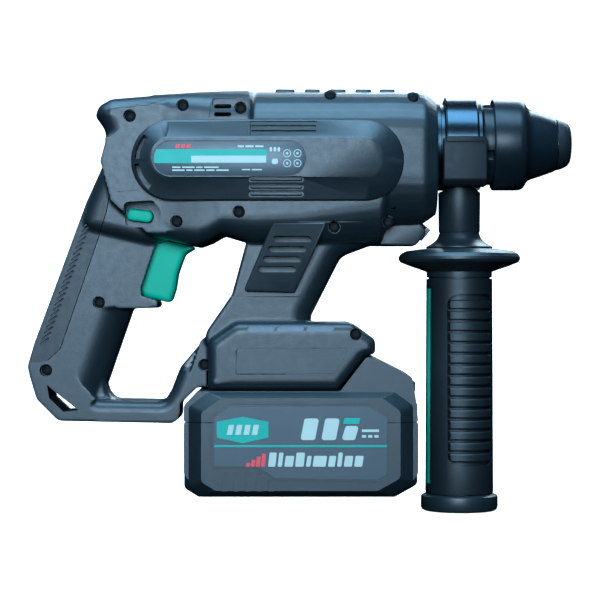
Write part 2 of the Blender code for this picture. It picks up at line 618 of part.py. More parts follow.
def make_rating_plate():
    outline = rounded_bar(-70.3 * MM, 2.6 * MM, 152.4 * MM, 169.2 * MM, 8 * MM)
    piece(plate([outline], -BULGE_HALF - 0.9 * MM, -BULGE_HALF - GAP), "rating_plate", "label")


# ---------------------------------------------------------------- battery

BATTERY_TOP = mm([(-56.3, 33.9), (57.2, 33.9), (55.8, 44.5), (54, 56), (36, 64.8), (33, 64.6), (20, 48.4),
                  (-49.8, 48.4), (-56.3, 41.5)])


def make_battery():
    lower = plate([mm([(-56.3, 8), (-55.4, 4.2), (-48, 0), (48, 0), (57.3, 8), (57.3, 33.6), (-56.3, 33.6)])],
                  -BATTERY_HALF, BATTERY_HALF)
    round_edges(lower, 2 * MM)
    cut(lower, box((-53 * MM, -34.6 * MM, 10 * MM), (54 * MM, 34.6 * MM, 40 * MM)))
    cut(lower, box((-51 * MM, -34.6 * MM, 4.6 * MM), (51 * MM, 34.6 * MM, 12 * MM)))
    piece(lower, "battery_lower_case", "shell")
    upper = plate([BATTERY_TOP], -BATTERY_HALF, BATTERY_HALF)
    round_edges(upper, 2 * MM)
    cut(upper, box((-53 * MM, -34.6 * MM, 20 * MM), (54 * MM, 34.6 * MM, 45.6 * MM)))
    neck = box((-41 * MM, -16.5 * MM, 46.4 * MM), (16 * MM, 16.5 * MM, 54 * MM))
    head = box((-41 * MM, -20.9 * MM, 52.6 * MM), (16 * MM, 20.9 * MM, 57.4 * MM))
    join(upper, neck, head)
    cut(upper, box((-42 * MM, -14.6 * MM, 50 * MM), (-14 * MM, 14.6 * MM, 60 * MM)))
    cut(upper, box((43 * MM, -16.4 * MM, 46.8 * MM), (60 * MM, 16.4 * MM, 53.4 * MM)))
    piece(upper, "battery_upper_case", "shell")
    cells = None
    for height in (14.3, 33.0):
        for column in range(5):
            x = (column - 2) * 20.2 * MM
            cell = rod((x, -32.5 * MM, height * MM), (x, 32.5 * MM, height * MM), 9.2 * MM, 14)
            if cells is None:
                cells = cell
            else:
                join(cells, cell)
    frame = box((-50 * MM, -33.5 * MM, 18 * MM), (47.5 * MM, -30 * MM, 27 * MM))
    join(cells, frame, box((-50 * MM, 30 * MM, 18 * MM), (47.5 * MM, 33.5 * MM, 27 * MM)))
    piece(cells, "cell_pack", "cell")
    piece(box((-48 * MM, -30 * MM, 43 * MM), (42 * MM, 30 * MM, 44.6 * MM)), "battery_board", "board")
    button = round_edges(box((46.4 * MM, -16 * MM, 47.2 * MM), (57.6 * MM, 16 * MM, 53 * MM)), 1 * MM)
    piece(button, "battery_release", "rubber")
    outline = mm([(-42, 10.6), (-20, 10.6), (-12.4, 5), (38, 4.8), (43.2, 9), (43.2, 32.8), (-43.4, 32.8),
                  (-43.4, 12)])
    piece(plate([outline], -BATTERY_HALF - 0.8 * MM, -BATTERY_HALF - GAP), "battery_label_right", "label")
    piece(plate([outline], BATTERY_HALF + GAP, BATTERY_HALF + 0.8 * MM), "battery_label_left", "label")


# ---------------------------------------------------------------- side handle

def inlay_block(half, low, high):
    """A block where the coloured strip sits, turned a little from -X towards -Y."""
    block = box((-20 * MM, -half, low), (-10 * MM, half, high))
    block.data.transform(Matrix.Translation((HANDLE_X, 0, 0)) @ Matrix.Rotation(INLAY_TURN, 4, "Z"))
    return block


def make_side_handle():
    band = mm([(23.7, 87.4), (23.7, 71.9), (22.6, 71.9), (22.6, 87.4)])
    piece(turned(band, (0, 0, SPINDLE_Z), sides=28), "clamp_band", "dark_steel")
    saddle = [(-26.5 * MM, 172 * MM), (-26.5 * MM, 156 * MM), (-19 * MM, 148.6 * MM), (-10 * MM, 140 * MM),
              (10 * MM, 140 * MM), (19 * MM, 148.6 * MM), (26.5 * MM, 156 * MM), (26.5 * MM, 172 * MM)]
    block = round_edges(plate([saddle], 69.8 * MM, 91.4 * MM, "YZ"), 1.5 * MM)
    stem = turned(mm([(0, 150), (10.2, 150), (10, 128.4), (0, 128.4)]), (HANDLE_X, 0, 0), "Z", 28)
    join(block, stem)
    cut(block, rod((60 * MM, 0, SPINDLE_Z), (100 * MM, 0, SPINDLE_Z), 24 * MM, 28))
    cut(block, rod((HANDLE_X, 0, 110 * MM), (HANDLE_X, 0, 147.4 * MM), 4.4 * MM, 20))
    piece(block, "clamp_saddle", "shell")
    bolt = rod((HANDLE_X, 0, 52 * MM), (HANDLE_X, 0, 144 * MM), 4 * MM, 20)
    piece(bolt, "clamp_bolt", "steel")
    washer = mm([(9.6, 128), (9.6, 126.6), (4.4, 126.6), (4.4, 128)])
    piece(turned(washer, (HANDLE_X, 0, 0), "Z", 24), "thrust_washer", "steel")
    grip = mm([(0, 46), (4.4, 46), (4.4, 126.2), (9.8, 126.2), (10.6, 124), (13, 120.6), (16.4, 119),
               (16.6, 118), (29, 118), (FLANGE_RADIUS / MM, 116.4), (FLANGE_RADIUS / MM, 113),
               (28.6, 110), (20, 107.4), (16.2, 106), (15.2, 104), (15.2, -3.6), (19, -4.6), (19.2, -6),
               (19.2, -10.4), (17.4, -12), (0, -12)])
    core = turned(grip, (HANDLE_X, 0, 0), "Z", 24)
    piece(core, "side_grip", "shell")
    sleeve = mm([(16.2, 103), (16.8, -3), (15.5, -3), (15.5, 103)])
    sleeve = turned(sleeve, (HANDLE_X, 0, 0), "Z", 24)
    cut(sleeve, inlay_block(2.7 * MM, 1 * MM, 99 * MM))
    piece(sleeve, "grip_sleeve", "rubber")
    strip = turned(mm([(16.4, 98.4), (16.9, 1.6), (15.5, 1.6), (15.5, 98.4)]), (HANDLE_X, 0, 0), "Z", 24)
    combine(strip, cutter(inlay_block(2.4 * MM, -10 * MM, 120 * MM)), "INTERSECT")
    piece(strip, "grip_inlay", "green")


make_housing()
make_screws()
make_motor()
make_gear_train()
make_hammer()
make_spindle()
make_chuck_sleeve()
make_gear_case()
make_controls()
make_rating_plate()
make_battery()
make_side_handle()
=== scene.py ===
import math

import bmesh
import bpy
from mathutils import Matrix, Vector


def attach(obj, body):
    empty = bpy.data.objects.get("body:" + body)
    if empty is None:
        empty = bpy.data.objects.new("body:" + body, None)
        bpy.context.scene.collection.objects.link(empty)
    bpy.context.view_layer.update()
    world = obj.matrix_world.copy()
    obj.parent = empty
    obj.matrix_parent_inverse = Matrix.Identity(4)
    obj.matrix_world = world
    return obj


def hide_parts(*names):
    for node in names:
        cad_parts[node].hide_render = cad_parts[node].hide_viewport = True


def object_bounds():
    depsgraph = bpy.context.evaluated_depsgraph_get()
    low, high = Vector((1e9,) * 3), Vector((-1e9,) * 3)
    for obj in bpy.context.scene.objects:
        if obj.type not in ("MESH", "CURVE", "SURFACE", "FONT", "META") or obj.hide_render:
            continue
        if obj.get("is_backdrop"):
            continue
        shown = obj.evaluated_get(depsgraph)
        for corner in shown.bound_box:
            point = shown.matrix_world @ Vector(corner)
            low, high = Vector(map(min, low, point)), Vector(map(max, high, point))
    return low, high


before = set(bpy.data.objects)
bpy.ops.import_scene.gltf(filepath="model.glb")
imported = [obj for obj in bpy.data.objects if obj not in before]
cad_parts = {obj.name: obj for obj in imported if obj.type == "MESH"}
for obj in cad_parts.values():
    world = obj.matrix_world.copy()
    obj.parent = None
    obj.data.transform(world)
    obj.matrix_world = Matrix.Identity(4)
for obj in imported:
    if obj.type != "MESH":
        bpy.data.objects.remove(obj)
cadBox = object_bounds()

mm = 0.001
spindleZ = 170.3
handleX = 79.6
knobX, knobZ = 24, 153
footSlots = (-25.6, -11.5, 3.0)
louvreBars = (151.0, 147.3, 143.9)


# mesh helpers, all sizes in millimetres until a piece is finished

def arc(centre, radius, start, end, steps):
    turns = [math.radians(start + (end - start) * i / steps) for i in range(steps + 1)]
    return [(centre[0] + radius * math.cos(a), centre[1] + radius * math.sin(a)) for a in turns]


def filleted(points, radius, steps=5):  # every corner rounded, or by its own third number
    made = []
    count = len(points)
    for i in range(count):
        here = Vector(points[i][:2])
        before = Vector(points[i - 1][:2]) - here
        after = Vector(points[(i + 1) % count][:2]) - here
        wanted = points[i][2] if len(points[i]) > 2 else radius
        half = before.angle(after) / 2
        reach = min(wanted / max(math.tan(half), 0.01), before.length * 0.48, after.length * 0.48)
        if wanted <= 0 or half > 1.54:
            made.append(tuple(here))
            continue
        size = reach * math.tan(half)
        first = here + before.normalized() * reach
        centre = here + (before.normalized() + after.normalized()).normalized() * (size / math.sin(half))
        begin = math.atan2(first.y - centre.y, first.x - centre.x)
        last = here + after.normalized() * reach
        finish = math.atan2(last.y - centre.y, last.x - centre.x)
        turn = (finish - begin + math.pi) % (2 * math.pi) - math.pi
        for k in range(steps + 1):
            angle = begin + turn * k / steps
            made.append((centre.x + size * math.cos(angle), centre.y + size * math.sin(angle)))
    return made


def facing(bm):
    bmesh.ops.recalc_face_normals(bm, faces=bm.faces)
    if bm.calc_volume(signed=True) < 0:
        bmesh.ops.reverse_faces(bm, faces=bm.faces)
    return bm


def bevelled(bm, edges, width, segments=3):
    if width:
        bmesh.ops.bevel(bm, geom=edges, offset=width, offset_type="OFFSET", segments=segments, profile=0.5,
                        affect="EDGES", material=-1, clamp_overlap=False)
    return bm


def slab(points, low, high, rim=0, segments=3, where=None, rimLow=True, rimHigh=True):  # outline in XZ, thick in Y
    bm = bmesh.new()
    face = bm.faces.new([bm.verts.new((x, low, z)) for x, z in points])
    grown = bmesh.ops.extrude_face_region(bm, geom=[face])["geom"]
    bmesh.ops.translate(bm, vec=(0, high - low, 0), verts=[v for v in grown if isinstance(v, bmesh.types.BMVert)])
    facing(bm)
    rims = []
    for edge in bm.edges:
        a, b = edge.verts
        if abs(a.co.y - b.co.y) > 1e-6:
            continue
        if (a.co.y == low and not rimLow) or (a.co.y == high and not rimHigh):
            continue
        middle = (a.co + b.co) / 2
        if where is None or where(middle.x, middle.z):
            rims.append(edge)
    return bevelled(bm, rims, rim, segments)


def block(low, high, rim=0, segments=3):
    bm = bmesh.new()
    bmesh.ops.create_cube(bm, size=1)
    size = [b - a for a, b in zip(low, high)]
    bmesh.ops.scale(bm, vec=size, verts=bm.verts)
    bmesh.ops.translate(bm, vec=[(a + b) / 2 for a, b in zip(low, high)], verts=bm.verts)
    return bevelled(bm, list(bm.edges), rim, segments)


def rod(start, end, radius, sides=32, rim=0, endRadius=None):
    bm = bmesh.new()
    start, end = Vector(start), Vector(end)
    bmesh.ops.create_cone(bm, cap_ends=True, segments=sides, radius1=radius,
                          radius2=radius if endRadius is None else endRadius, depth=(end - start).length)
    caps = [e for e in bm.edges if abs(e.verts[0].co.z - e.verts[1].co.z) < 1e-6]
    bevelled(bm, caps, rim, 3)
    turn = Vector((0, 0, 1)).rotation_difference(end - start).to_matrix().to_4x4()
    bm.transform(Matrix.Translation((start + end) / 2) @ turn)
    return bm


def turned(profile, centre, along="X", sides=96):  # (radius, distance) pairs, closed on itself or on the axis
    bm = bmesh.new()
    axis = {"X": Vector((1, 0, 0)), "Z": Vector((0, 0, 1)), "Y": Vector((0, 1, 0))}[along]
    out = Vector((0, 0, 1)) if along != "Z" else Vector((1, 0, 0))
    verts = [bm.verts.new(Vector(centre) + axis * d + out * r) for r, d in profile]
    edges = [bm.edges.new((verts[i], verts[i + 1])) for i in range(len(verts) - 1)]
    if profile[0][0] > 0:
        edges.append(bm.edges.new((verts[-1], verts[0])))
    bmesh.ops.spin(bm, geom=verts + edges, cent=centre, axis=axis, angle=2 * math.pi, steps=sides, use_merge=True)
    bmesh.ops.remove_doubles(bm, verts=bm.verts, dist=0.0005)
    return facing(bm)


def joined(*shapes):
    whole = bmesh.new()
    for shape in shapes:
        mesh = bpy.data.meshes.new("part")
        shape.to_mesh(mesh)
        shape.free()
        whole.from_mesh(mesh)
        bpy.data.meshes.remove(mesh)
    return whole


def mirrored(bm):
    bmesh.ops.scale(bm, vec=(1, -1, 1), verts=bm.verts)
    bmesh.ops.reverse_faces(bm, faces=bm.faces)
    return bm


def asObject(bm, name="shape"):
    mesh = bpy.data.meshes.new(name)
    bm.to_mesh(mesh)
    bm.free()
    obj = bpy.data.objects.new(name, mesh)
    bpy.context.scene.collection.objects.link(obj)
    return obj


def baked(obj):
    bpy.context.view_layer.update()
    mesh = bpy.data.meshes.new_from_object(obj.evaluated_get(bpy.context.evaluated_depsgraph_get()))
    obj.modifiers.clear()
    obj.data = mesh
    return obj


def combined(obj, shapes, operation="DIFFERENCE"):  # one exact Boolean with every shape in the list
    group = bpy.data.collections.new("tools")
    bpy.context.scene.collection.children.link(group)
    tools = [asObject(shape, "tool") for shape in shapes]
    for tool in tools:
        bpy.context.scene.collection.objects.unlink(tool)
        group.objects.link(tool)
    step = obj.modifiers.new("step", "BOOLEAN")
    step.operation = operation
    step.operand_type = "COLLECTION"
    step.collection = group
    step.solver = "EXACT"
    baked(obj)
    for tool in tools:
        bpy.data.objects.remove(tool)
    bpy.data.collections.remove(group)
    return obj


def cutBy(bm, *shapes):
    return combined(asObject(bm), list(shapes))


def melted(shapes, voxel, rounds):  # overlapping shapes fused into one skin with soft inner corners
    obj = asObject(joined(*shapes), "skin")
    remesh = obj.modifiers.new("skin", "REMESH")
    remesh.mode = "VOXEL"
    remesh.voxel_size = voxel * 1
    smooth = obj.modifiers.new("smooth", "SMOOTH")
    smooth.factor = 0.5
    smooth.iterations = rounds
    return baked(obj)


def finished(obj, name, body, finish, stands=(), angle=33):  # millimetres to metres, named, riding, shaded
    if isinstance(obj, bmesh.types.BMesh):
        obj = asObject(obj)
    obj.data.transform(Matrix.Scale(mm, 4))
    obj.name = name
    obj.data.name = name
    obj.data.materials.clear()
    obj.data.materials.append(finish)
    for polygon in obj.data.polygons:
        polygon.use_smooth = True
    obj.data.set_sharp_from_angle(angle=math.radians(angle))
    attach(obj, body)
    if stands:
        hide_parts(*stands)
    return obj


# finishes

def nodesOf(name, colour, roughness, metallic=0.0):
    material = bpy.data.materials.new(name)
    material.use_nodes = True
    tree = material.node_tree
    shader = tree.nodes["Principled BSDF"]
    shader.inputs["Base Color"].default_value = (*colour, 1)
    shader.inputs["Roughness"].default_value = roughness
    shader.inputs["Metallic"].default_value = metallic
    place = tree.nodes.new("ShaderNodeTexCoord")
    return material, tree, shader, place


def noise(tree, place, scale, detail=2.0, stretch=None):
    made = tree.nodes.new("ShaderNodeTexNoise")
    made.inputs["Scale"].default_value = scale
    made.inputs["Detail"].default_value = detail
    source = place.outputs["Object"]
    if stretch:
        mapping = tree.nodes.new("ShaderNodeMapping")
        mapping.inputs["Scale"].default_value = stretch
        tree.links.new(source, mapping.inputs["Vector"])
        source = mapping.outputs["Vector"]
    tree.links.new(source, made.inputs["Vector"])
    return made


def ramp(tree, source, low, high, start=0.3, stop=0.7):
    made = tree.nodes.new("ShaderNodeValToRGB")
    made.color_ramp.elements[0].position = start
    made.color_ramp.elements[1].position = stop
    made.color_ramp.elements[0].color = (*low, 1) if isinstance(low, tuple) else (low, low, low, 1)
    made.color_ramp.elements[1].color = (*high, 1) if isinstance(high, tuple) else (high, high, high, 1)
    tree.links.new(source, made.inputs["Fac"])
    return made.outputs["Color"]


def finishWith(name, colour, roughness, metallic=0.0, grain=1800, depth=0.02, mottle=0.10, spread=0.03, stretch=None,
               mottleScale=55, specular=0.5):
    material, tree, shader, place = nodesOf(name, colour, roughness, metallic)
    shader.inputs["Specular IOR Level"].default_value = specular
    patch = noise(tree, place, mottleScale, 4)
    darker = tuple(c * (1 - mottle) for c in colour)
    lighter = tuple(min(1, c * (1 + mottle)) for c in colour)
    tree.links.new(ramp(tree, patch.outputs["Fac"], darker, lighter), shader.inputs["Base Color"])
    rub = noise(tree, place, mottleScale * 6, 3, stretch)
    tree.links.new(ramp(tree, rub.outputs["Fac"], max(0.02, roughness - spread), min(1.0, roughness + spread)),
                   shader.inputs["Roughness"])
    fine = noise(tree, place, grain, 2, stretch)
    bump = tree.nodes.new("ShaderNodeBump")
    bump.inputs["Strength"].default_value = 0.6
    bump.inputs["Distance"].default_value = depth * mm
    tree.links.new(fine.outputs["Fac"], bump.inputs["Height"])
    tree.links.new(bump.outputs["Normal"], shader.inputs["Normal"])
    return material


finishes = {
    "shell": finishWith("mouldedShell", (0.008, 0.015, 0.019), 0.42, grain=1300, depth=0.06, mottle=0.08),
    "grip": finishWith("softRubber", (0.006, 0.011, 0.014), 0.50, grain=2400, depth=0.05, mottle=0.10),
    "green": finishWith("greenPlastic", (0.0, 0.43, 0.27), 0.45, grain=1400, depth=0.012, mottle=0.06, specular=0.12),
    "oxide": finishWith("blackOxide", (0.030, 0.048, 0.064), 0.24, 1.0, grain=260, depth=0.010, stretch=(14, 1, 1)),
    "collar": finishWith("darkAlloy", (0.032, 0.047, 0.058), 0.34, 1.0, grain=900, depth=0.02),
    "steel": finishWith("groundSteel", (0.50, 0.53, 0.57), 0.28, 1.0, grain=260, depth=0.010, stretch=(14, 1, 1)),
    "alloy": finishWith("castAlloy", (0.30, 0.33, 0.36), 0.40, 1.0, grain=900, depth=0.03),
    "sleeve": finishWith("chuckPlastic", (0.005, 0.010, 0.014), 0.34, grain=1600, depth=0.03, mottle=0.10,
                          specular=0.22),
    "saddle": finishWith("clampPlastic", (0.004, 0.008, 0.011), 0.50, grain=1500, depth=0.04, mottle=0.12,
                         specular=0.2),
    # screw heads almost black and barely glossy: painted shade, so the screw holes read as dark as their shadow
    "screw": finishWith("screwPaintedShade", (0.004, 0.005, 0.006), 0.6, grain=900, depth=0.01, specular=0.15),
    "label": finishWith("labelFilm", (0.022, 0.042, 0.056), 0.40, grain=600, depth=0.004, mottle=0.05, specular=0.6),
    "caseLabel": finishWith("caseFilm", (0.018, 0.034, 0.046), 0.42, grain=600, depth=0.006, mottle=0.05),
    "teal": finishWith("tealPrint", (0.0, 0.31, 0.24), 0.42, grain=700, depth=0.003, mottle=0.05, specular=0.2),
    "white": finishWith("whitePrint", (0.42, 0.49, 0.44), 0.45, grain=700, depth=0.003, mottle=0.04, specular=0.2),
    "red": finishWith("redPrint", (0.80, 0.06, 0.07), 0.45, grain=700, depth=0.003, mottle=0.06, specular=0.2),
    "lens": finishWith("lampLens", (0.20, 0.24, 0.27), 0.16, grain=500, depth=0.01, mottle=0.08),
    # pale slot floor: painted light, brighter than the shell so the foot slots look lit inside
    "paintedVentLight": finishWith("ventFloorPaintedLight", (0.07, 0.12, 0.15), 0.42, grain=900, depth=0.02, mottle=0.10),
    "board": finishWith("circuitBoard", (0.02, 0.16, 0.07), 0.4, grain=500, depth=0.05, mottle=0.3, mottleScale=220),
    "brass": finishWith("contactBrass", (0.72, 0.52, 0.22), 0.28, 1.0, grain=700, depth=0.01),
    "cells": finishWith("cellWrap", (0.03, 0.2, 0.42), 0.35, grain=500, depth=0.01),
    "lamination": finishWith("laminations", (0.22, 0.22, 0.24), 0.4, 1.0, grain=200, depth=0.03, stretch=(16, 1, 1)),
}
print("finishes made:", len(finishes))


# housing

housing = {
    "barrel": [  # x, top, bottom, half width, top corner, bottom corner
        (-72, 193.2, 124.0, 30.1, 9, 8), (-60, 193.8, 121.0, 30.9, 10, 8), (-50, 194.6, 119.2, 32.0, 12, 9),
        (-44, 195.0, 121.5, 32.5, 14, 9), (-38, 195.3, 125.0, 33.0, 15, 9), (-24.4, 195.9, 120.9, 33.0, 17, 13),
        (-22.6, 195.7, 120.7, 33.0, 24, 13), (0, 196.0, 119.8, 33.0, 24.5, 15), (39.5, 196.0, 119.9, 33.0, 24.5, 21),
        (43, 196.0, 127.6, 32.8, 24, 25), (47, 196.0, 129.4, 32.8, 24, 24), (60, 195.6, 130.0, 32.4, 24, 23),
        (61.5, 195.2, 131.0, 32.0, 23.5, 22), (67.3, 190.4, 135.0, 28.4, 20, 20)],
    "plate": [(-43.8, 180.6), (-23.4, 180.6), (-23.4, 190.8), (-42.4, 190.8)],
    "rear": [(-100, 182.5, 2.5), (-98.4, 187.6, 6), (-92, 191, 6), (-60, 193.6), (-58, 126), (-74, 125),
             (-92, 141, 4), (-97, 160.5, 2), (-94.4, 170, 8), (-95.4, 176, 8)],
    "shoulder": [(-97, 158), (-103.8, 141), (-108, 128), (-74, 120), (-58, 124), (-58, 150)],
    "motorEnd": (-62, 160.4),
    "grip": [(-96.6, 160), (-105.2, 141), (-122.6, 93.8), (-130.9, 71.5), (-134.3, 60, 3), (-133, 54.6, 3),
             (-129.8, 44, 5), (-119.1, 33.2, 5), (-63, 32, 2), (-59.2, 34.5), (-59.2, 41.5, 2), (-51, 49.6),
             (-38, 50), (-38, 76), (-47.2, 75, 8), (-59.2, 59.6, 10), (-63.6, 48.3, 3), (-67, 43, 4),
             (-100, 43.6, 2), (-110.8, 56, 4), (-99.4, 89, 3), (-80.6, 88.6, 3), (-70.8, 88.9, 0.8),
             (-69.7, 90.6, 0.6), (-70.3, 92.7, 0.5), (-77.8, 95.0, 0.6), (-78, 99), (-69.8, 124), (-60, 138),
             (-60, 150)],
    "gripFront": ((-113.6, 48.4), (-97.4, 95.0), 16.0),
    "heel": [(-106, 41), (-87.6, 41), (-88.4, 43.3), (-92.4, 44.4), (-95.0, 47.2), (-96.2, 51), (-97, 56),
             (-106, 56)],
    "strap": [(-124.6, 51.2), (-118.8, 46.2), (-109.0, 38.6), (-116.4, 37.8), (-123.4, 44.4)],
    "leg": [(-24.5, 128), (-33.4, 95.5, 4), (-46.5, 76.5, 8), (-46, 70), (9, 70), (5.0, 84, 6), (20.5, 114.5, 9),
            (38, 121, 6), (38, 128)],
    "legPad": [(-13.2, 130.6, 1.2), (13.4, 130.6, 1.2), (-2.6, 96.4, 1.5), (-27.8, 97.0, 1.5)],
    "foot": [(-44.6, 49.2, 2), (18.6, 49.2, 3), (31.6, 65.4, 3), (36.6, 66.8, 2), (36.6, 73.6, 4), (25.2, 81.9, 6),
             (-31, 81.9, 7), (-44.6, 72.4, 6)],
    "lamp": [(36, 128), (36, 119.8), (57.4, 119.8, 2.5), (62.5, 126.4, 1.2), (59.6, 131.6, 2), (52, 138)],
    "ribs": ((-12.1, -2.6), (2.4, 9.8), (14.6, 22.6), (27.4, 35.2), (39.4, 46.8)),
}


def ring(top, bottom, half, topCorner, bottomCorner):  # one section across the barrel, y and z
    made = []
    for y, z, radius, start in ((half, top, topCorner, 0), (-half, top, topCorner, 90),
                                (-half, bottom, bottomCorner, 180), (half, bottom, bottomCorner, 270)):
        centre = (y - math.copysign(radius, y), z - radius if start < 180 else z + radius)
        made += arc(centre, radius, start, start + 90, 8)
    return made


def loft(sections):
    bm = bmesh.new()
    rings = []
    for x, *shape in sections:
        verts = [bm.verts.new((x, y, z)) for y, z in ring(*shape)]
        rings.append([bm.edges.new((verts[i - 1], verts[i])) for i in range(len(verts))])
    for first, second in zip(rings, rings[1:]):
        bmesh.ops.bridge_loops(bm, edges=first + second)
    for end in (rings[0], rings[-1]):
        bmesh.ops.contextual_create(bm, geom=end)
    return facing(bm)


def racetrack(left, right, bottom, top, corner, steps=10):  # a round left end, two round corners on the right
    middle = (bottom + top) / 2
    radius = (top - bottom) / 2
    return (arc((left + radius, middle), radius, 90, 270, steps * 2)
            + arc((right - corner, bottom + corner), corner, 270, 360, steps)
            + arc((right - corner, top - corner), corner, 0, 90, steps))


def sidePad(side):  # the raised pad over motor and gears: a low frustum with a wide slope
    bm = bmesh.new()
    levels = ((20, -81.7, 50.2, 140.7, 180.1, 19), (33.6, -81.7, 50.2, 140.7, 180.1, 19),
              (34.6, -80.9, 49.4, 141.5, 179.3, 18.5), (37.4, -73.2, 40.4, 151.2, 171.6, 8.6),
              (38.0, -72.2, 39.2, 152.1, 170.9, 8))
    loops = []
    for y, *shape in levels:
        verts = [bm.verts.new((x, side * y, z)) for x, z in racetrack(*shape)]
        loops.append([bm.edges.new((verts[i - 1], verts[i])) for i in range(len(verts))])
    for first, second in zip(loops, loops[1:]):
        bmesh.ops.bridge_loops(bm, edges=first + second)
    for end in (loops[0], loops[-1]):
        bmesh.ops.contextual_create(bm, geom=end)
    return facing(bm)


def inHandHole(x, z):  # edges round the lower part of the hand opening
    return -104 < x < -56 and 42.6 < z < 66


def softForms():  # melted together, with soft inner corners
    h = housing
    yield loft(h["barrel"])
    yield slab(filleted(h["rear"], 3), -30.4, 30.4, 8, 5, lambda x, z: z > 172)  # crisp where it meets the neck
    yield slab(filleted(h["shoulder"], 5), -20, 20, 6, 4)
    yield slab(filleted(h["grip"], 3), -16, 16, 5.5, 4, inHandHole)
    low, high, radius = h["gripFront"]
    yield rod((low[0], 0, low[1]), (high[0], 0, high[1]), radius, 56)
    yield slab(h["heel"], -10, 10, 3, 3)
    yield slab(filleted(h["leg"], 4), -21.5, 21.5, 10, 6, lambda x, z: x > 0)
    yield slab(filleted(h["foot"], 4), -34.5, 34.5, 4.6, 4)


def crispForms():  # joined on afterwards, edges kept
    h = housing
    yield sidePad(-1)
    yield sidePad(1)
    yield slab(filleted(h["plate"], 1.2), -31.4, 31.4, 0.8, 2)
    leg = slab(filleted(h["legPad"], 1), -25.2, 25.2, 1.0, 2)
    for vert in leg.verts:
        if vert.co.z > 120:
            vert.co.y *= 1.28
    yield leg
    yield slab(filleted(h["lamp"], 2), -10.5, 10.5, 0.8, 2)
    for start, end in h["ribs"]:
        yield block((start, -13, 190), (end, 13, 196.9), 0.8, 2)


screwPlaces = [  # x, z, depth of the face it sits in
    (-82.6, 182.2, 30.2), (-56.9, 187.4, 31.0), (-28.8, 185.9, 31.2), (-98.4, 139.8, 16.0), (-59.9, 130.9, 31.8),
    (-29.6, 135.5, 33.0), (16.7, 128.3, 31.0), (43.1, 130.9, 28.0), (-99.0, 91.6, 16.0), (-125.0, 58.2, 16.0),
    (-47.0, 60.8, 16.4), (27.1, 76.1, 34.3), (14.9, 193.6, 19.4), (55.6, 192.5, 19.9)]


def line(points, width, low, high):  # a groove of even width along a run of points
    left, right = [], []
    for i, point in enumerate(points):
        here = Vector(point)
        before = Vector(points[max(i - 1, 0)])
        after = Vector(points[min(i + 1, len(points) - 1)])
        side = (after - before).normalized().orthogonal() * (width / 2)
        left.append(tuple(here + side))
        right.append(tuple(here - side))
    return slab(left + right[::-1], low, high)


def capsule(x1, x2, z, height, low, high, lean=0.0):
    r = height / 2
    shape = arc((x2 - r, z), r, -90, 90, 8) + arc((x1 + r, z), r, 90, 270, 8)
    return slab([(x + (up - z) * lean, up) for x, up in shape], low, high)


def commonCuts(h):  # on the right side, y below zero; the left side takes them mirrored
    motor = h["motorEnd"]
    for x, z, depth in screwPlaces:
        yield rod((x, -depth - 12, z), (x, 5.5 - depth, z), 3.1, 28)
        yield rod((x, 7 - depth, z), (x, -4, z), 1.7, 12)
    for start, end in ((137, 178), (186, 232)):
        band = arc(motor, 18.2, start, end, 16) + arc(motor, 15.6, end, start, 16)
        yield slab(band, -40, -24)
    rim = arc(motor, 20.4, 90, 214, 30)
    yield line([(-43, 180.8)] + rim, 0.7, -45, -33.0)
    yield line([(-88.4, 145.0), (-78.6, 146.0), (-77.4, 149.5)], 0.6, -45, -29.8)
    for z in (176.7, 174.2):
        yield slab(filleted([(-23.4, z - 0.5), (7.7, z - 0.5), (7.7, z + 0.5), (-23.4, z + 0.5)], 0.3, 2), -45, -31.4)
    yield line([(-23.9, 172.2), (-23.9, 179.0), (8.2, 179.0)], 0.5, -45, -30.8)
    for z in louvreBars:
        yield capsule(-24.9, 1.9, z, 2.9, -45, -33.9)
    for step in range(4):
        x, z = -12.8 - step * 2.55, 122.4 - step * 4.85
        yield capsule(x, x + 18.4, z, 3.1, -45, -19.6, -0.3)
    for start in footSlots:
        yield capsule(start, start + 13.4, 78.9, 2.7, -45, -31.8, 0.3)
    yield line([(-1, 130.7), (40.5, 130.7)], 0.5, -45, -30.9)
    yield line([(-36, 94.4), (14, 94.4)], 0.6, -45, -20.9)
    panel = filleted([(-30.9, 69.4, 2), (22.4, 69.4, 0.5), (22.4, 66.2, 0.5), (17.2, 57.0, 0.5), (-30.9, 57.0, 0.8)],
                     0.8, 3)
    yield line(panel + panel[:2], 0.5, -45, -33.9)
    yield slab(h["strap"], -45, 5)


def rightCuts():
    yield slab(racetrack(-71.0, 3.2, 152.4, 169.6, 8.55), -45, -37.2)
    yield line([(-64.6, 171.4), (-62.4, 178.4), (-24.9, 178.4), (-24.9, 171.8)], 0.55, -45, -35.0)
    for z in (186.6, 182.6):
        yield capsule(-41.6, -33.2, z, 2.1, -45, -24)
    yield line([(-43.9, 181.2), (-43.1, 189.2), (-41, 190.2), (-24, 190.8)], 0.5, -45, -29.6)


def leftCuts():
    yield rod((knobX, -45, knobZ), (knobX, -20, knobZ), 7.3, 32)
    yield slab(filleted([(-60, 155.5), (-16, 155.5), (-16, 167.5), (-60, 167.5)], 2, 4), -45, -37.3)


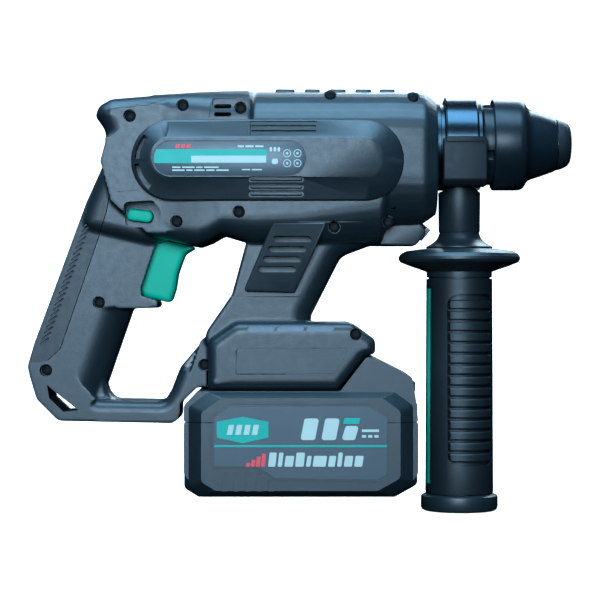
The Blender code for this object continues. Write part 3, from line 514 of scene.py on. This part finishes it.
def passages():  # openings shared by both halves
    yield rod((52, 0, spindleZ), (80, 0, spindleZ), 22.4, 64)
    yield slab(filleted([(-68.4, 91.2), (-50, 86), (-50, 124), (-66, 127.6), (-92, 126), (-92, 97), (-78, 94.2)], 0.5),
               -9.2, 9.2)
    yield block((-46, -17, 40), (45, 17, 57.5))
    yield block((-46, -21.5, 52), (45, 21.5, 58))
    yield slab([(-96, 141), (-110, 102), (-85, 98), (-74, 128), (-66, 141)], -11.5, 11.5)
    yield rod((-91, 0, 161.3), (-42, 0, 161.3), 23.4, 64)
    yield slab([(-45, 190), (58, 190.5), (62, 150), (50, 140), (38, 132), (-20, 132), (-45, 134)], -25, 25, 5, 2)
    yield block((-31.6, -24.6, 140), (-24.9, 24.6, 180))
    yield block((37.4, -27.2, 137), (46.6, 27.2, 181))
    yield slab([(-70, 168), (-64, 174), (30, 168), (34, 156), (26, 148), (-66, 148)], -30, 30)
    yield slab([(-20, 130), (-29, 96), (-38, 80), (-3, 80), (-3, 88), (8, 116), (8, 130)], -16, 16)
    yield slab([(-41, 56), (14, 56), (18, 62), (18, 76), (-29, 76), (-41, 68)], -30, 30)
    yield rod(alongLamp(-16), alongLamp(6), 3.75, 40)
    yield slab(buttonOutline(1.9), -15, 15)


def alongLamp(d):
    return 62.5 + 0.78 * d, 0, 125.4 - 0.626 * d


def buttonOutline(margin):
    half = (6.4 + margin, 2.9 + margin)
    lean = math.radians(-7)
    corners = [(-half[0], -half[1]), (half[0], -half[1]), (half[0], half[1]), (-half[0], half[1])]
    spun = [(-78.7 + u * math.cos(lean) - v * math.sin(lean), 134.2 + u * math.sin(lean) + v * math.cos(lean))
            for u, v in corners]
    return filleted(spun, 2.6 + margin, 6)


gripPad = {
    "outline": [(-92, 164), (-96.4, 161.4), (-110, 141), (-126, 93.8), (-138, 71.5), (-138, 61.4), (-124.2, 62.8, 2),
                (-117.6, 69, 3), (-108, 97), (-94.6, 136), (-91.8, 151, 2)],
    "ribs": 27, "first": (-99.2, 144.5), "last": (-125.6, 72.5),
}


def padCore(rim, half):
    return slab([(-80, 170), (-94.0 - rim, 158), (-101.8 - rim, 141), (-119.2 - rim, 93.8), (-127.4 - rim, 71.5),
                 (-130.6 - rim, 50), (-95, 50), (-85, 97), (-70, 136), (-70, 170)], -half, half)


def bmeshOf(obj):
    bm = bmesh.new()
    bm.from_mesh(obj.data)
    bpy.data.objects.remove(obj)
    return bm


def raisedBars():
    for z in louvreBars:
        yield slab(filleted([(-24.0, z - 0.75), (1.0, z - 0.75), (1.0, z + 0.75), (-24.0, z + 0.75)], 0.7, 4),
                   -36.0, -33.0, 0.4, 2, rimHigh=False)
    for z in (178.0, 175.45, 172.9):
        yield slab(filleted([(-23.0, z - 0.45), (7.3, z - 0.45), (7.3, z + 0.45), (-23.0, z + 0.45)], 0.4, 3),
                   -34.9 if z < 177 else -34.0, -30.0, 0.35, 2, rimHigh=False)


def makeHousing():
    whole = bmeshOf(combined(melted(list(softForms()), 0.8, 3), list(crispForms()), "UNION"))
    for side, name, stands in ((-1, "rightShell", "right_housing"), (1, "leftShell", "left_housing")):
        half = whole.copy()
        if side > 0:
            mirrored(half)
        cut = bmesh.ops.bisect_plane(half, geom=half.verts[:] + half.edges[:] + half.faces[:], dist=0.0001,
                                     plane_co=(0, -0.15, 0), plane_no=(0, 1, 0), clear_outer=True)["geom_cut"]
        bmesh.ops.triangle_fill(half, use_beauty=True, edges=[e for e in cut if isinstance(e, bmesh.types.BMEdge)])
        facing(half)
        obj = asObject(half, name)
        pocket = filleted([(-85.6, 129.0), (-68.0, 127.4), (-67.4, 136), (-71.4, 141.2), (-85.6, 140.4)], 2.5, 4)
        cuts = list(commonCuts(housing)) + list(passages())
        cuts += [slab(buttonOutline(0.35), -45, 5), slab(pocket, -45, -15.2)]
        cuts += list(leftCuts() if side > 0 else rightCuts())
        cuts.append(bmeshOf(cutBy(slab(filleted(gripPad["outline"], 2), -22, 22), padCore(-0.3, 13.2))))
        if side > 0:
            combined(obj, [rod((knobX, -38, knobZ), (knobX, -31, knobZ), 16.6, 72, 0.5)], "UNION")
        combined(obj, cuts)
        combined(obj, list(raisedBars()), "UNION")
        if side > 0:
            flipped = bmesh.new()
            flipped.from_mesh(obj.data)
            mirrored(flipped)
            flipped.to_mesh(obj.data)
            flipped.free()
        finished(obj, name, "housing", finishes["shell"], [stands])
        print(name, len(obj.data.polygons))
    makeGripPad(whole)


def makeGripPad(skin):  # flush with the shell: the same skin, cut out along the pad's outline
    pad = asObject(skin)
    outline = [(x + 0.35, z, *rest) if x < -125 or z > 155 else (x - 0.45, z, *rest)
               for x, z, *rest in gripPad["outline"]]
    combined(pad, [slab(filleted(outline, 2), -25, 25)], "INTERSECT")
    tools = [padCore(0.3, 13.6)]
    for i in range(gripPad["ribs"]):
        share = i / (gripPad["ribs"] - 1)
        x, z = (a + (b - a) * share for a, b in zip(gripPad["first"], gripPad["last"]))
        for side in (-1, 1):
            tool = block((-2.7, -1.1, -0.5), (2.7, 1.1, 0.5), 0.3, 2)
            tool.transform(Matrix.Translation((x, side * 16.4, z)) @ Matrix.Rotation(math.radians(-38), 4, "Y"))
            tools.append(tool)
    combined(pad, tools)
    finished(pad, "gripPad", "housing", finishes["grip"], ["grip_pad"])


def makeScrews():
    for number, (x, z, depth) in enumerate(screwPlaces, 1):
        stands = {4: (), 9: ("housing_screw_2",), 10: ("housing_screw_1",), 11: ("housing_screw_3",)}.get(number, ())
        head = turned([(0, -1.2), (1.6, -1.1), (2.6, -0.5), (2.75, 0), (2.75, 0.4), (1.4, 0.5), (1.4, 8), (0, 8)],
                      (x, 5.0 - depth, z), "Y", 28)
        socket = rod((x, 2.6 - depth, z), (x, 4.8 - depth, z), 1.25, 6)
        # the near-black screw finish is painted shade for the deep screw holes
        finished(cutBy(head, socket), f"housingScrew{number}", "housing", finishes["screw"], stands)


def makeFootVentLight():  # pale sheets in the three slots of the foot, on both sides: painted light, standing in for the light seen inside the slots
    paintedLightFloors = []
    for side in (-1, 1):
        low, high = sorted((side * 31.4, side * 33.0))
        # these pale sheets are painted light in the slots, not a real vent colour
        paintedLightFloors += [capsule(start - 0.2, start + 13.6, 78.9, 3.1, low, high, 0.3) for start in footSlots]
    finished(joined(*paintedLightFloors), "footVentLight", "housing", finishes["paintedVentLight"])


makeHousing()
makeScrews()
makeFootVentLight()
print("housing done")


# printed graphics: thin raised shapes, the same for each label

def flat(points, face, thickness=0.1):
    return slab(points, face - thickness, face)


def bars(x1, x2, z, height, lengths, gap, face):  # a row of plain dashes
    x = x1
    for length in lengths:
        if x + length > x2:
            break
        dash = [(x, z), (x + length, z), (x + length, z + height), (x, z + height)]
        yield flat(filleted(dash, height * 0.3, 2), face)
        x += length + gap


def ringMark(x, z, radius, face):
    outer = arc((x, z), radius, 0, 345, 23)
    hole = slab(arc((x, z), radius * 0.82, 0, 345, 23), face - 1, face + 1)
    return bmeshOf(cutBy(slab(outer, face - 0.1, face), hole))


def makeRatingPlate():
    face = -37.85
    plate = slab(racetrack(-70.5, 2.7, 152.8, 169.2, 8.15), face, -37.25, 0.12, 2, rimHigh=False)
    finished(plate, "ratingPlate", "housing", finishes["label"], ["rating_plate"])
    band = arc((-62.3, 161), 8.0, 147, 197, 10) + [(-57, 158.6), (-16, 158.6), (-16, 165.3)]
    finished(flat(band, face), "ratingBand", "housing", finishes["teal"])
    white = [flat([(-52.3, 158.9), (-16.4, 158.9), (-16.4, 162.2), (-52.3, 162.2)], face - 0.1)]
    white += bars(-61.5, -36, 156.3, 0.7, (4, 6, 3, 7, 5), 0.8, face)
    white += bars(-61.5, -34, 154.9, 0.7, (6, 3, 5, 4, 6), 0.8, face)
    white += bars(-28, -16, 155.2, 0.6, (4, 5), 0.8, face)
    white += bars(-30, -16, 166.3, 0.9, (3, 4, 4), 0.7, face)
    white += bars(-14.6, -9, 164.2, 2.2, (1.2, 1.2, 1.2), 0.7, face)
    white += bars(-13.6, -9, 158.2, 2.6, (3,), 0.7, face)
    white += [ringMark(x, z, 1.9, face) for x in (-6.2, -1.2) for z in (158.6, 163.4)]
    white += [slab(arc((x, z), 0.6, 0, 315, 7), face - 0.1, face) for x in (-6.2, -1.2) for z in (158.6, 163.4)]
    finished(joined(*white), "ratingMarks", "housing", finishes["white"])
    red = [flat([(-60 + i * 2.6, 165.9), (-58.2 + i * 2.6, 165.9), (-57.7 + i * 2.6, 167.7), (-59.5 + i * 2.6, 167.7)],
                face) for i in range(3)]
    finished(joined(*red), "ratingAccent", "housing", finishes["red"])


makeRatingPlate()


# trigger, direction button, mode knob, lamp

def makeControls():
    outline = [(-68.8, 123.2, 2), (-60, 120.6, 3), (-52.4, 119.2, 0.8), (-52.6, 118.2, 0.8), (-57.2, 115.4, 3),
               (-60.6, 106, 8), (-61.8, 98, 8), (-63.6, 92.6, 1.5), (-65.6, 91.6, 1.5), (-77.2, 94.5, 2), (-83, 98),
               (-83, 119), (-78, 123)]
    trigger = melted([slab(filleted(outline, 1.5), -8.7, 8.7, 2.4, 4)], 0.45, 4)
    combined(trigger, [block((-90, -3.6, 103.2), (-76, 3.6, 112.8))])  # room for its spring
    finished(trigger, "triggerLever", "trigger", finishes["green"], ["trigger"])
    bar = combined(asObject(slab(buttonOutline(0), -19.7, 19.7, 1.3, 4)), [slab(buttonOutline(1.5), -11, 11)],
                   "UNION")
    finished(bar, "directionSlider", "direction_button", finishes["green"], ["direction_button"])
    rim = [(0, 38.2), (14.6, 38.2), (15, 38.8), (15, 41.4), (13.6, 43.4), (11, 44), (0, 44)]
    disc = turned(rim, (knobX, 0, knobZ), "Y", 96)
    wing = slab(filleted([(8.8, 150.2), (39.2, 149.2), (39.2, 156.8), (8.8, 155.8)], 3, 6), 41, 47.3, 1.2, 3,
                rimLow=False)
    stem = rod((knobX, 30, knobZ), (knobX, 40, knobZ), 6.9, 40)
    knob = combined(asObject(disc), [wing, stem], "UNION")
    notches = []
    for i in range(28):
        angle = math.radians(i * 360 / 28)
        x, z = knobX + 15.3 * math.cos(angle), knobZ + 15.3 * math.sin(angle)
        notches.append(rod((x, 37, z), (x, 45, z), 0.7, 10))
    notches.append(slab([(36.8, 152.2), (38.6, 153), (36.8, 153.8)], 46.6, 49))
    combined(knob, notches)
    finished(knob, "modeKnob", "mode_knob", finishes["shell"], ["mode_knob"])
    finished(rod(alongLamp(-13), alongLamp(-1.4), 3.65, 40, 0.3), "workLamp", "housing", finishes["shell"],
             ["work_lamp"])
    finished(rod(alongLamp(-1.2), alongLamp(0.6), 3.7, 48, 0.4), "lampLens", "housing", finishes["lens"],
             ["lamp_lens"])


makeControls()
print("controls done")


# front end: gear case, chuck, spindle

def makeFront():
    z = (0, 0, spindleZ)
    collar = [(21.3, 90), (21.7, 89.5), (21.7, 88.0), (22.1, 87.6), (22.3, 87.2), (22.3, 71.9), (21.6, 71.4),
              (20, 71.2), (20, 69.6), (21.6, 69.2), (21.6, 44.8), (17, 44.8), (17, 84), (12.6, 84.2), (12.6, 90)]
    flange = [(-22, 137.6), (22, 137.6), (26.6, 150), (26.6, 180), (20, 188), (-20, 188), (-26.6, 180), (-26.6, 150)]
    face = slab(filleted(flange, 3), 38, 46, 0.8, 2)
    face.transform(Matrix.Rotation(math.radians(-90), 4, "Z"))
    case = combined(asObject(turned(collar, z, "X", 128)), [face], "UNION")
    combined(case, [rod((30, 0, spindleZ), (50, 0, spindleZ), 16.95, 128),
                    rod((30, 0, 143.3), (50, 0, 143.3), 8.3, 40)])
    finished(case, "gearCase", "housing", finishes["collar"], ["gear_case"])
    ringShape = [(19.2, 97.5), (19.9, 96.9), (20, 96.4), (20, 91.4), (19.4, 90.4), (12.3, 90.4), (12.3, 92.3),
                 (9.8, 92.3), (9.8, 97.5)]
    windows = []
    for i in range(4):
        tool = block((91.0, -2.9, 16.8), (95.6, 2.9, 24), 0.8, 2)
        tool.transform(Matrix.Translation((0, 0, spindleZ)) @ Matrix.Rotation(math.radians(20 + i * 90), 4, "X"))
        windows.append(tool)
    finished(cutBy(turned(ringShape, z, "X", 128), *windows), "chuckRing", "spindle", finishes["sleeve"],
             ["chuck_ring"])
    cap = [(6.3, 134.9), (7.8, 134.9), (9.2, 134.5), (10.4, 133.6), (11.4, 132.1), (12.2, 130.2), (12.8, 127.9),
           (9.8, 127.9), (9.8, 131.3), (6, 131.3), (6, 134.6)]
    finished(turned(cap, z, "X", 112), "noseCap", "spindle", finishes["grip"], ["nose_cap"])
    tube = [(9.3, 131), (9.5, 130.8), (9.5, 92), (12, 92), (12, 14), (9.5, 14), (9.5, 58), (6.6, 58), (6.6, 78),
            (5.05, 80), (5.05, 130.6), (5.4, 131)]
    slots = [rod((112, 2 * s, spindleZ), (112, 14 * s, spindleZ), 3.5, 32) for s in (-1, 1)]
    keyway = block((84, -0.9, spindleZ - 6.2), (133, 0.9, spindleZ - 3.2))
    finished(cutBy(turned(tube, z, "X", 96), *slots, keyway), "hammerTube", "spindle", finishes["steel"],
             ["spindle"])
    outer = [(12.95, 127.4), (13.7, 126), (15.0, 122.4), (16.3, 118.6), (17.2, 115.6), (17.8, 114.2), (18.8, 113.0),
             (20.6, 112.0), (21.9, 111.0), (22.6, 109.6), (22.8, 108), (22.8, 96.6), (22.6, 96.0), (22.1, 95.6)]
    bore = [(20.4, 95.6), (20.4, 109), (17.4, 109), (17.4, 113.4), (11.9, 113.4), (11.9, 121), (9.9, 122.5),
            (9.9, 127.4)]
    finished(turned(outer + bore, z, "X", 144), "chuckSleeve", "chuck_sleeve", finishes["sleeve"],
             ["chuck_sleeve"], 25)


def makeBearingWall():
    wall = block((-31.2, -22.6, 137.5), (-25.2, 22.6, 181), 1.2, 3)
    tools = [rod((-34, 0, 161.3), (-22, 0, 161.3), 7.3, 40), rod((-34, 0, 143.3), (-22, 0, 143.3), 8.3, 40)]
    finished(cutBy(wall, *tools), "bearingWall", "housing", finishes["collar"], ["bearing_plate"])


makeFront()
makeBearingWall()
print("front end done")


# side handle

sideHandle = {"ribs": 15, "ribTop": 90.6, "ribPitch": 5.4, "guard": 30.3, "turn": 23, "stripe": 18}


def inlayBlock(half, low, high):
    bm = block((-20, -half, low), (-10, half, high))
    bm.transform(Matrix.Translation((handleX, 0, 0)) @ Matrix.Rotation(math.radians(sideHandle["stripe"]), 4, "Z"))
    return bm


def makeSideHandle():
    axis = (handleX, 0, 0)
    band = [(23.4, 87.2), (23.7, 86.9), (23.7, 72.4), (23.4, 72.1), (22.6, 72.1), (22.6, 87.2)]
    finished(turned(band, (0, 0, spindleZ), "X", 128), "clampBand", "clamp", finishes["oxide"],
             ["clamp_band"])
    profile = [(-26.4, 172.2), (-26.4, 151.4), (-24, 148.6), (24, 148.6), (26.4, 151.4), (26.4, 172.2)]
    saddle = slab(filleted(profile, 3, 6), 69.8, 91.4, 0.9, 3)
    saddle.transform(Matrix.Rotation(math.radians(-90), 4, "Z"))
    lip = slab([(-27.0, 172.6), (-27.0, 170.2), (27.0, 170.2), (27.0, 172.6)], 71.2, 90.4, 0.4, 2)
    lip.transform(Matrix.Rotation(math.radians(-90), 4, "Z"))
    stem = turned([(0, 150.5), (10.6, 150.5), (10.5, 149), (10.3, 127.0), (9.95, 126.35), (9.95, 128.3), (0, 128.3)],
                  axis, "Z", 96)
    bolt = rod((handleX, 0, 110), (handleX, 0, 147.2), 4.4, 32)
    bore = rod((60, 0, spindleZ), (100, 0, spindleZ), 24, 96)
    finished(cutBy(stem, bore.copy(), bolt.copy()), "clampStem", "clamp", finishes["shell"])
    body = combined(combined(asObject(saddle), [lip], "UNION"), [bore, bolt])
    finished(body, "clampSaddle", "clamp", finishes["saddle"], ["clamp_saddle"])
    s = sideHandle
    flare = [(9.8, 126.3)] + [(10.2 + 6.3 * t ** 2.2, 126.0 - 6.6 * t) for t in (0.1, 0.3, 0.5, 0.7, 0.85, 1.0)]
    guard = [(16.6, 118.9), (16.2, 118.4), (20, 118.1), (26.5, 117.2), (29.2, 115.9), (s["guard"], 114.2),
             (s["guard"], 112.9), (29.4, 111.6), (25, 109.8), (19.6, 108.0), (16.4, 106.8), (16.3, 104.2),
             (15.2, 103.9), (15.2, 99.1), (13.0, 99.1)]
    foot = [(13.0, 0.9), (15.2, 0.9), (15.2, -3.6), (17.4, -3.8), (19.0, -4.6), (19.2, -5.4), (19.2, -10.2),
            (18.7, -11.4), (17.6, -12), (0, -12)]
    inside = [(0, 46), (4.4, 46), (4.4, 126.3)]
    core = turned(inside + flare + guard + foot, axis, "Z", 128)
    finished(core, "sideGripCore", "side_grip", finishes["shell"], ["side_grip"], 28)
    sleeve = turned([(16.2, 103.4), (16.45, 103), (17.0, -2.6), (16.8, -3.2), (15.5, -3.2), (15.5, 1.2), (13.3, 1.2),
                     (13.3, 98.8), (15.5, 98.8), (15.5, 103.4)], axis, "Z", 144)
    cuts = [inlayBlock(2.3, 1, 99)]
    window = slab(filleted([(-12.4, -62), (12.4, -62), (12.4, 22.6), (-12.4, 22.6)], 5, 6), -24, 0)
    facingOut = Matrix.Translation((handleX, 0, 73)) @ Matrix.Rotation(math.radians(s["turn"]), 4, "Z")
    window.transform(facingOut)
    ribs = []
    for i in range(s["ribs"]):
        z = s["ribTop"] - i * s["ribPitch"]
        ribs.append(turned([(16.7, 1.4), (16.7, -1.4), (16.3, -2.0), (14.0, -2.3), (14.0, 2.3), (16.3, 2.0)],
                           (handleX, 0, z), "Z", 120))
    groove = turned([(14.5, 97), (14.5, 10), (19, 10), (19, 97)], axis, "Z", 120)
    hollow = bmeshOf(combined(asObject(groove), [window], "INTERSECT"))
    field = slab(filleted([(-11.2, -60.6), (11.2, -60.6), (11.2, 21.2), (-11.2, 21.2)], 3, 5), -24, 0)
    field.transform(facingOut)
    kept = bmeshOf(combined(asObject(joined(*ribs)), [field], "INTERSECT"))
    cuts.append(bmeshOf(cutBy(hollow, kept)))
    finished(combined(asObject(sleeve), cuts), "gripSleeve", "side_grip", finishes["grip"],
             ["grip_sleeve"], 28)
    strip = turned([(16.3, 98.4), (16.4, 98.2), (16.95, 1.8), (16.8, 1.6), (13.4, 1.6), (13.4, 98.4)], axis, "Z", 128)
    inlay = combined(asObject(strip), [inlayBlock(2.0, -10, 120)], "INTERSECT")
    finished(inlay, "gripInlay", "side_grip", finishes["green"], ["grip_inlay"])


makeSideHandle()
print("side handle done")


# battery

battery = {
    "side": [(-56.2, 8.5, 4), (-49, 0.2, 3), (47.5, 0.2, 3), (57.2, 8, 5), (57.2, 33.6), (-56.2, 33.6)],
    "top": [(-56.2, 33.9), (57.2, 33.9), (56.2, 44, 4), (54.2, 55.6, 3), (36, 64.8, 2), (32.2, 65.2, 2),
            (19.4, 48.6, 2), (-49.8, 48.6, 1.5), (-56.2, 41.8, 4)],
    "face": [(-47.6, 5.2, 3), (-40.6, 0.9, 2), (37.4, 0.9, 2), (48.4, 7, 3), (48.4, 39.2, 3), (39.6, 45.6, 2),
             (-37.8, 45.6, 2), (-47.6, 38.6, 3)],
    "line": [(-42.6, 36.4), (-34.6, 42.4), (33.4, 42.4), (43.2, 37.2), (43.2, 32.9)],
    "foot": [(-42.6, 11.6), (-20.2, 11.6), (-12.2, 5.8), (37.6, 4.9)],
}


def caseHalf(outline, low, high):  # outline with a faceted side: full width only inside the face outline
    shape = slab(filleted(outline, 1), -33.6, 33.6)
    flats = []
    for side in (-1, 1):
        bm = bmesh.new()
        loops = []
        face = filleted(battery["face"], 2, 4)
        centre = Vector((sum(p[0] for p in face), sum(p[1] for p in face))) / len(face)
        for y, grow in ((30.0, 8.6), (33.7, 6.2), (37.1, 0.5), (37.5, 0)):
            verts = []
            for x, z in face:
                away = Vector((x, z)) - centre
                stretch = Vector((x + grow * math.copysign(min(1, abs(away.x) / 30), away.x),
                                  z + grow * 0.42 * math.copysign(min(1, abs(away.y) / 12), away.y)))
                verts.append(bm.verts.new((stretch.x, side * y, stretch.y)))
            loops.append([bm.edges.new((verts[i - 1], verts[i])) for i in range(len(verts))])
        for first, second in zip(loops, loops[1:]):
            bmesh.ops.bridge_loops(bm, edges=first + second)
        for end in (loops[0], loops[-1]):
            bmesh.ops.contextual_create(bm, geom=end)
        facing(bm)
        flats.append(bm)
    obj = combined(asObject(shape), flats, "UNION")
    return combined(obj, [block((-80, -60, low - 40), (80, 60, low)), block((-80, -60, high), (80, 60, high + 60))])


def batteryGrooves():
    for side in (-1, 1):
        near, far = (-45, -37.05) if side < 0 else (37.05, 45)
        yield line(battery["line"], 0.45, near, far)
        yield line([(-42.6, 36.4), (-42.6, 11.6)], 0.45, near, far)
        yield line(battery["foot"], 0.45, near, far)
        for i in range(5):
            x = -37.6 + i * 5.6
            tall = 9.4 if i < 4 else 6.5
            yield slab(filleted([(x, -2), (x + 2.6, -2), (x + 2.6, tall), (x, tall)], 0.4, 2), near, far)


def makeBattery():
    lower = caseHalf(battery["side"], -5, 33.6)
    combined(lower, list(batteryGrooves()) + [slab([(-53, 40), (-53, 10), (-48, 4.6), (46, 4.6), (54, 11), (54, 40)],
                                                   -33, 33)])
    finished(lower, "batteryLower", "battery", finishes["shell"], ["battery_lower_case"])
    upper = caseHalf(battery["top"], 33.9, 90)
    rails = [block((-41, -16.5, 46.4), (16, 16.5, 54)), block((-41, -20.9, 52.6), (16, 20.9, 57.4), 0.6, 2)]
    combined(upper, rails, "UNION")
    cuts = list(batteryGrooves())
    cuts += [slab([(-53, 20), (54, 20), (53, 45.4), (-45.6, 45.4), (-53, 38)], -33, 33),
             block((-42, -14.6, 50), (-14, 14.6, 60)), block((43, -16.4, 46.8), (60, 16.4, 53.4))]
    combined(upper, cuts)
    finished(upper, "batteryUpper", "battery", finishes["shell"], ["battery_upper_case"])
    button = block((46.4, -16, 47.2), (56.8, 16, 53), 1.2, 4)
    ridges = [block((56.4, -14, 48.3 + i * 1.2), (58, 14, 48.8 + i * 1.2)) for i in range(4)]
    finished(cutBy(button, *ridges), "releaseButton", "battery_release", finishes["grip"],
             ["battery_release"])
    for side, name, stands in ((-1, "Right", "battery_label_right"), (1, "Left", "battery_label_left")):
        makeBatteryLabel(side, name, stands)


def makeBatteryLabel(side, name, stands):
    face = -37.75
    turn = mirrored if side > 0 else (lambda bm: bm)
    outline = [(-41.4, 12.6, 1), (-19.8, 12.6, 1), (-12.4, 7.0, 1), (37.0, 6.2, 1), (42.0, 9, 1), (42.0, 32.0, 1),
               (42.0, 36.4, 1), (33.0, 41.3, 1), (-34.2, 41.3, 1), (-41.4, 35.8, 1)]
    film = slab(filleted(outline, 1, 3), face, -37.5, 0.06, 1, rimHigh=False)
    finished(turn(film), "batteryFilm" + name, "battery", finishes["caseLabel"], [stands])
    badge = [(-40.0, 34.2), (-40.0, 26.6), (-27.6, 23.9), (-15.2, 26.6), (-15.2, 34.2), (-27.6, 36.6)]
    teal = [flat(badge, face), flat([(-41.2, 22.0), (41.8, 22.0), (41.8, 23.0), (-41.2, 23.0)], face)]
    teal += [flat([(20.8, 33.2), (28.4, 33.2), (29.0, 36.0), (21.4, 36.0)], face)]
    finished(turn(joined(*teal)), "batteryTeal" + name, "battery", finishes["teal"])
    white = []
    for i in range(4):  # a plain charge gauge in the badge
        x = -35.2 + i * 4.0
        white.append(flat([(x, 27.9), (x + 2.6, 27.9), (x + 3.5, 32.7), (x + 0.9, 32.7)], face - 0.1))
    for x1, x2, top in ((0.2, 8.2, 35.8), (10.2, 18.2, 35.8), (20.0, 27.4, 32.2)):  # big plain blocks
        white.append(flat(filleted([(x1, 25.4), (x2 - 1, 25.4), (x2 + 1, top), (x1 + 2, top)], 1.2), face))
    white.append(flat([(29.8, 29.3), (38.0, 29.3), (38.0, 30.5), (29.8, 30.5)], face))
    white += [flat([(29.8 + i * 3.0, 26.6), (31.8 + i * 3.0, 26.6), (31.8 + i * 3.0, 27.8), (29.8 + i * 3.0, 27.8)],
                   face) for i in range(3)]
    x = -15.4
    for width, height in ((4.6, 6.8), (3.2, 6.8), (5.2, 5.2), (5.2, 6.8), (3.2, 5.2), (7.4, 5.2), (4.4, 5.2),
                          (3.2, 6.8), (5.0, 5.2), (5.0, 5.2)):
        white.append(flat(filleted([(x, 12.6), (x + width - 1.1, 12.6), (x + width - 0.3, 12.6 + height),
                                    (x + 0.8, 12.6 + height)], 0.5, 2), face))
        x += width
    finished(turn(joined(*white)), "batteryMarks" + name, "battery", finishes["white"])
    red = [flat([(-26.2 + i * 2.5, 12.6), (-24.4 + i * 2.5, 12.6), (-23.9 + i * 2.5, 14.4 + i * 1.5),
                 (-25.7 + i * 2.5, 14.4 + i * 1.5)], face) for i in range(4)]
    finished(turn(joined(*red)), "batteryBars" + name, "battery", finishes["red"])


makeBattery()
print("battery done")


# inner pieces keep their solids and take their own finishes

inner = {
    "steel": ("motor_rear_bearing", "motor_front_bearing", "motor_pinion", "countershaft", "countershaft_gear",
              "countershaft_pinion", "countershaft_rear_bearing", "countershaft_front_bearing", "wobble_hub",
              "wobble_ring", "striker", "impact_bolt", "spindle_gear", "locking_ball_1", "locking_ball_2",
              "sleeve_spring", "spindle_bearing", "trigger_spring", "shift_fork", "clamp_bolt", "thrust_washer"),
    "lamination": ("motor_stator", "motor_rotor"),
    "alloy": ("piston",),
    "shell": ("cooling_fan", "trigger_switch"),
    "grip": ("rear_bearing_cushion", "spindle_seal"),
    "board": ("control_board", "battery_board"),
    "brass": ("terminal_block",),
    "cells": ("cell_pack",),
}
for finish, names in inner.items():
    for name in names:
        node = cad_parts[name]
        node.data.materials.clear()
        node.data.materials.append(finishes[finish])


# stage, lights and camera

stage = {"floorZ": -0.0123, "width": 12.0, "front": 3.6, "back": 1.6, "top": 4.0, "curve": 0.5,
         "tint": (0.90, 0.93, 0.95)}


def makeStage():
    s = stage
    turns = [math.radians(90 * i / 16) for i in range(17)]
    rise = [(math.sin(a) * s["curve"], s["floorZ"] + s["curve"] * (1 - math.cos(a))) for a in turns]
    front = [(s["curve"] - s["front"] - y, z) for y, z in rise]
    back = [(s["back"] - s["curve"] + y, z) for y, z in rise]
    profile = [(-s["front"], s["top"])] + front[::-1] + back + [(s["back"], s["top"])]
    bm = bmesh.new()
    verts = [bm.verts.new((-s["width"] / 2, y, z)) for y, z in profile]
    edges = [bm.edges.new((verts[i], verts[i + 1])) for i in range(len(verts) - 1)]
    grown = bmesh.ops.extrude_edge_only(bm, edges=edges)["geom"]
    bmesh.ops.translate(bm, vec=(s["width"], 0, 0), verts=[v for v in grown if isinstance(v, bmesh.types.BMVert)])
    sweep = asObject(bm, "studioSweep")
    for polygon in sweep.data.polygons:
        polygon.use_smooth = True
    paper = finishWith("studioPaper", s["tint"], 0.9, grain=200, depth=0.01, mottle=0.004, spread=0.02, mottleScale=3)
    shader = paper.node_tree.nodes["Principled BSDF"]
    shader.inputs["Emission Color"].default_value = (1, 1, 1, 1)
    shader.inputs["Emission Strength"].default_value = 1.0
    sweep.data.materials.append(paper)
    sweep.visible_diffuse = False
    sweep.visible_glossy = False
    sweep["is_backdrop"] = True


def areaLight(name, place, target, size, power, colour):
    data = bpy.data.lights.new(name, "AREA")
    data.shape = "RECTANGLE"
    data.size, data.size_y = size
    data.energy = power
    data.color = colour
    light = bpy.data.objects.new(name, data)
    bpy.context.scene.collection.objects.link(light)
    light.location = place
    light.rotation_euler = (Vector(target) - Vector(place)).to_track_quat("-Z", "Y").to_euler()


def makeSky():  # a soft blue-grey dome that fades out below the horizon
    world = bpy.data.worlds.new("studio")
    world.use_nodes = True
    tree = world.node_tree
    back = tree.nodes["Background"]
    place = tree.nodes.new("ShaderNodeTexCoord")
    split = tree.nodes.new("ShaderNodeSeparateXYZ")
    fade = tree.nodes.new("ShaderNodeMapRange")
    fade.inputs["From Min"].default_value = -0.15
    fade.inputs["From Max"].default_value = 0.9
    fade.inputs["To Min"].default_value = 0.0
    fade.inputs["To Max"].default_value = 0.035
    tree.links.new(place.outputs["Generated"], split.inputs["Vector"])
    tree.links.new(split.outputs["Z"], fade.inputs["Value"])
    tree.links.new(fade.outputs["Result"], back.inputs["Strength"])
    back.inputs["Color"].default_value = (0.66, 0.88, 1.0, 1)
    bpy.context.scene.world = world
    bpy.context.scene.view_settings.view_transform = "Standard"


def makeLights():
    areaLight("topLight", (-0.1, -0.3, 1.1), (0, 0, 0.12), (1.2, 0.6), 32, (0.34, 0.68, 1.0))
    areaLight("backLight", (0.35, 1.0, 0.95), (0, 0, 0.1), (0.8, 0.5), 16, (0.60, 0.82, 1.0))
    areaLight("frontLight", (-0.12, -1.5, 0.40), (0, 0, 0.1), (0.7, 0.6), 31, (0.52, 0.77, 1.0))
    makeSky()


def makeCamera():
    data = bpy.data.cameras.new("camera")
    data.lens = 120
    data.sensor_width = 36
    camera = bpy.data.objects.new("camera", data)
    bpy.context.scene.collection.objects.link(camera)
    camera.location = (0, -1.0, 0.0928)
    camera.rotation_euler = (math.radians(90), 0, 0)
    bpy.context.scene.camera = camera


makeStage()
makeLights()
makeCamera()
print("stage done")

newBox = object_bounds()
str([[round(v, 5) for v in corner] for corner in (*cadBox, *newBox)])
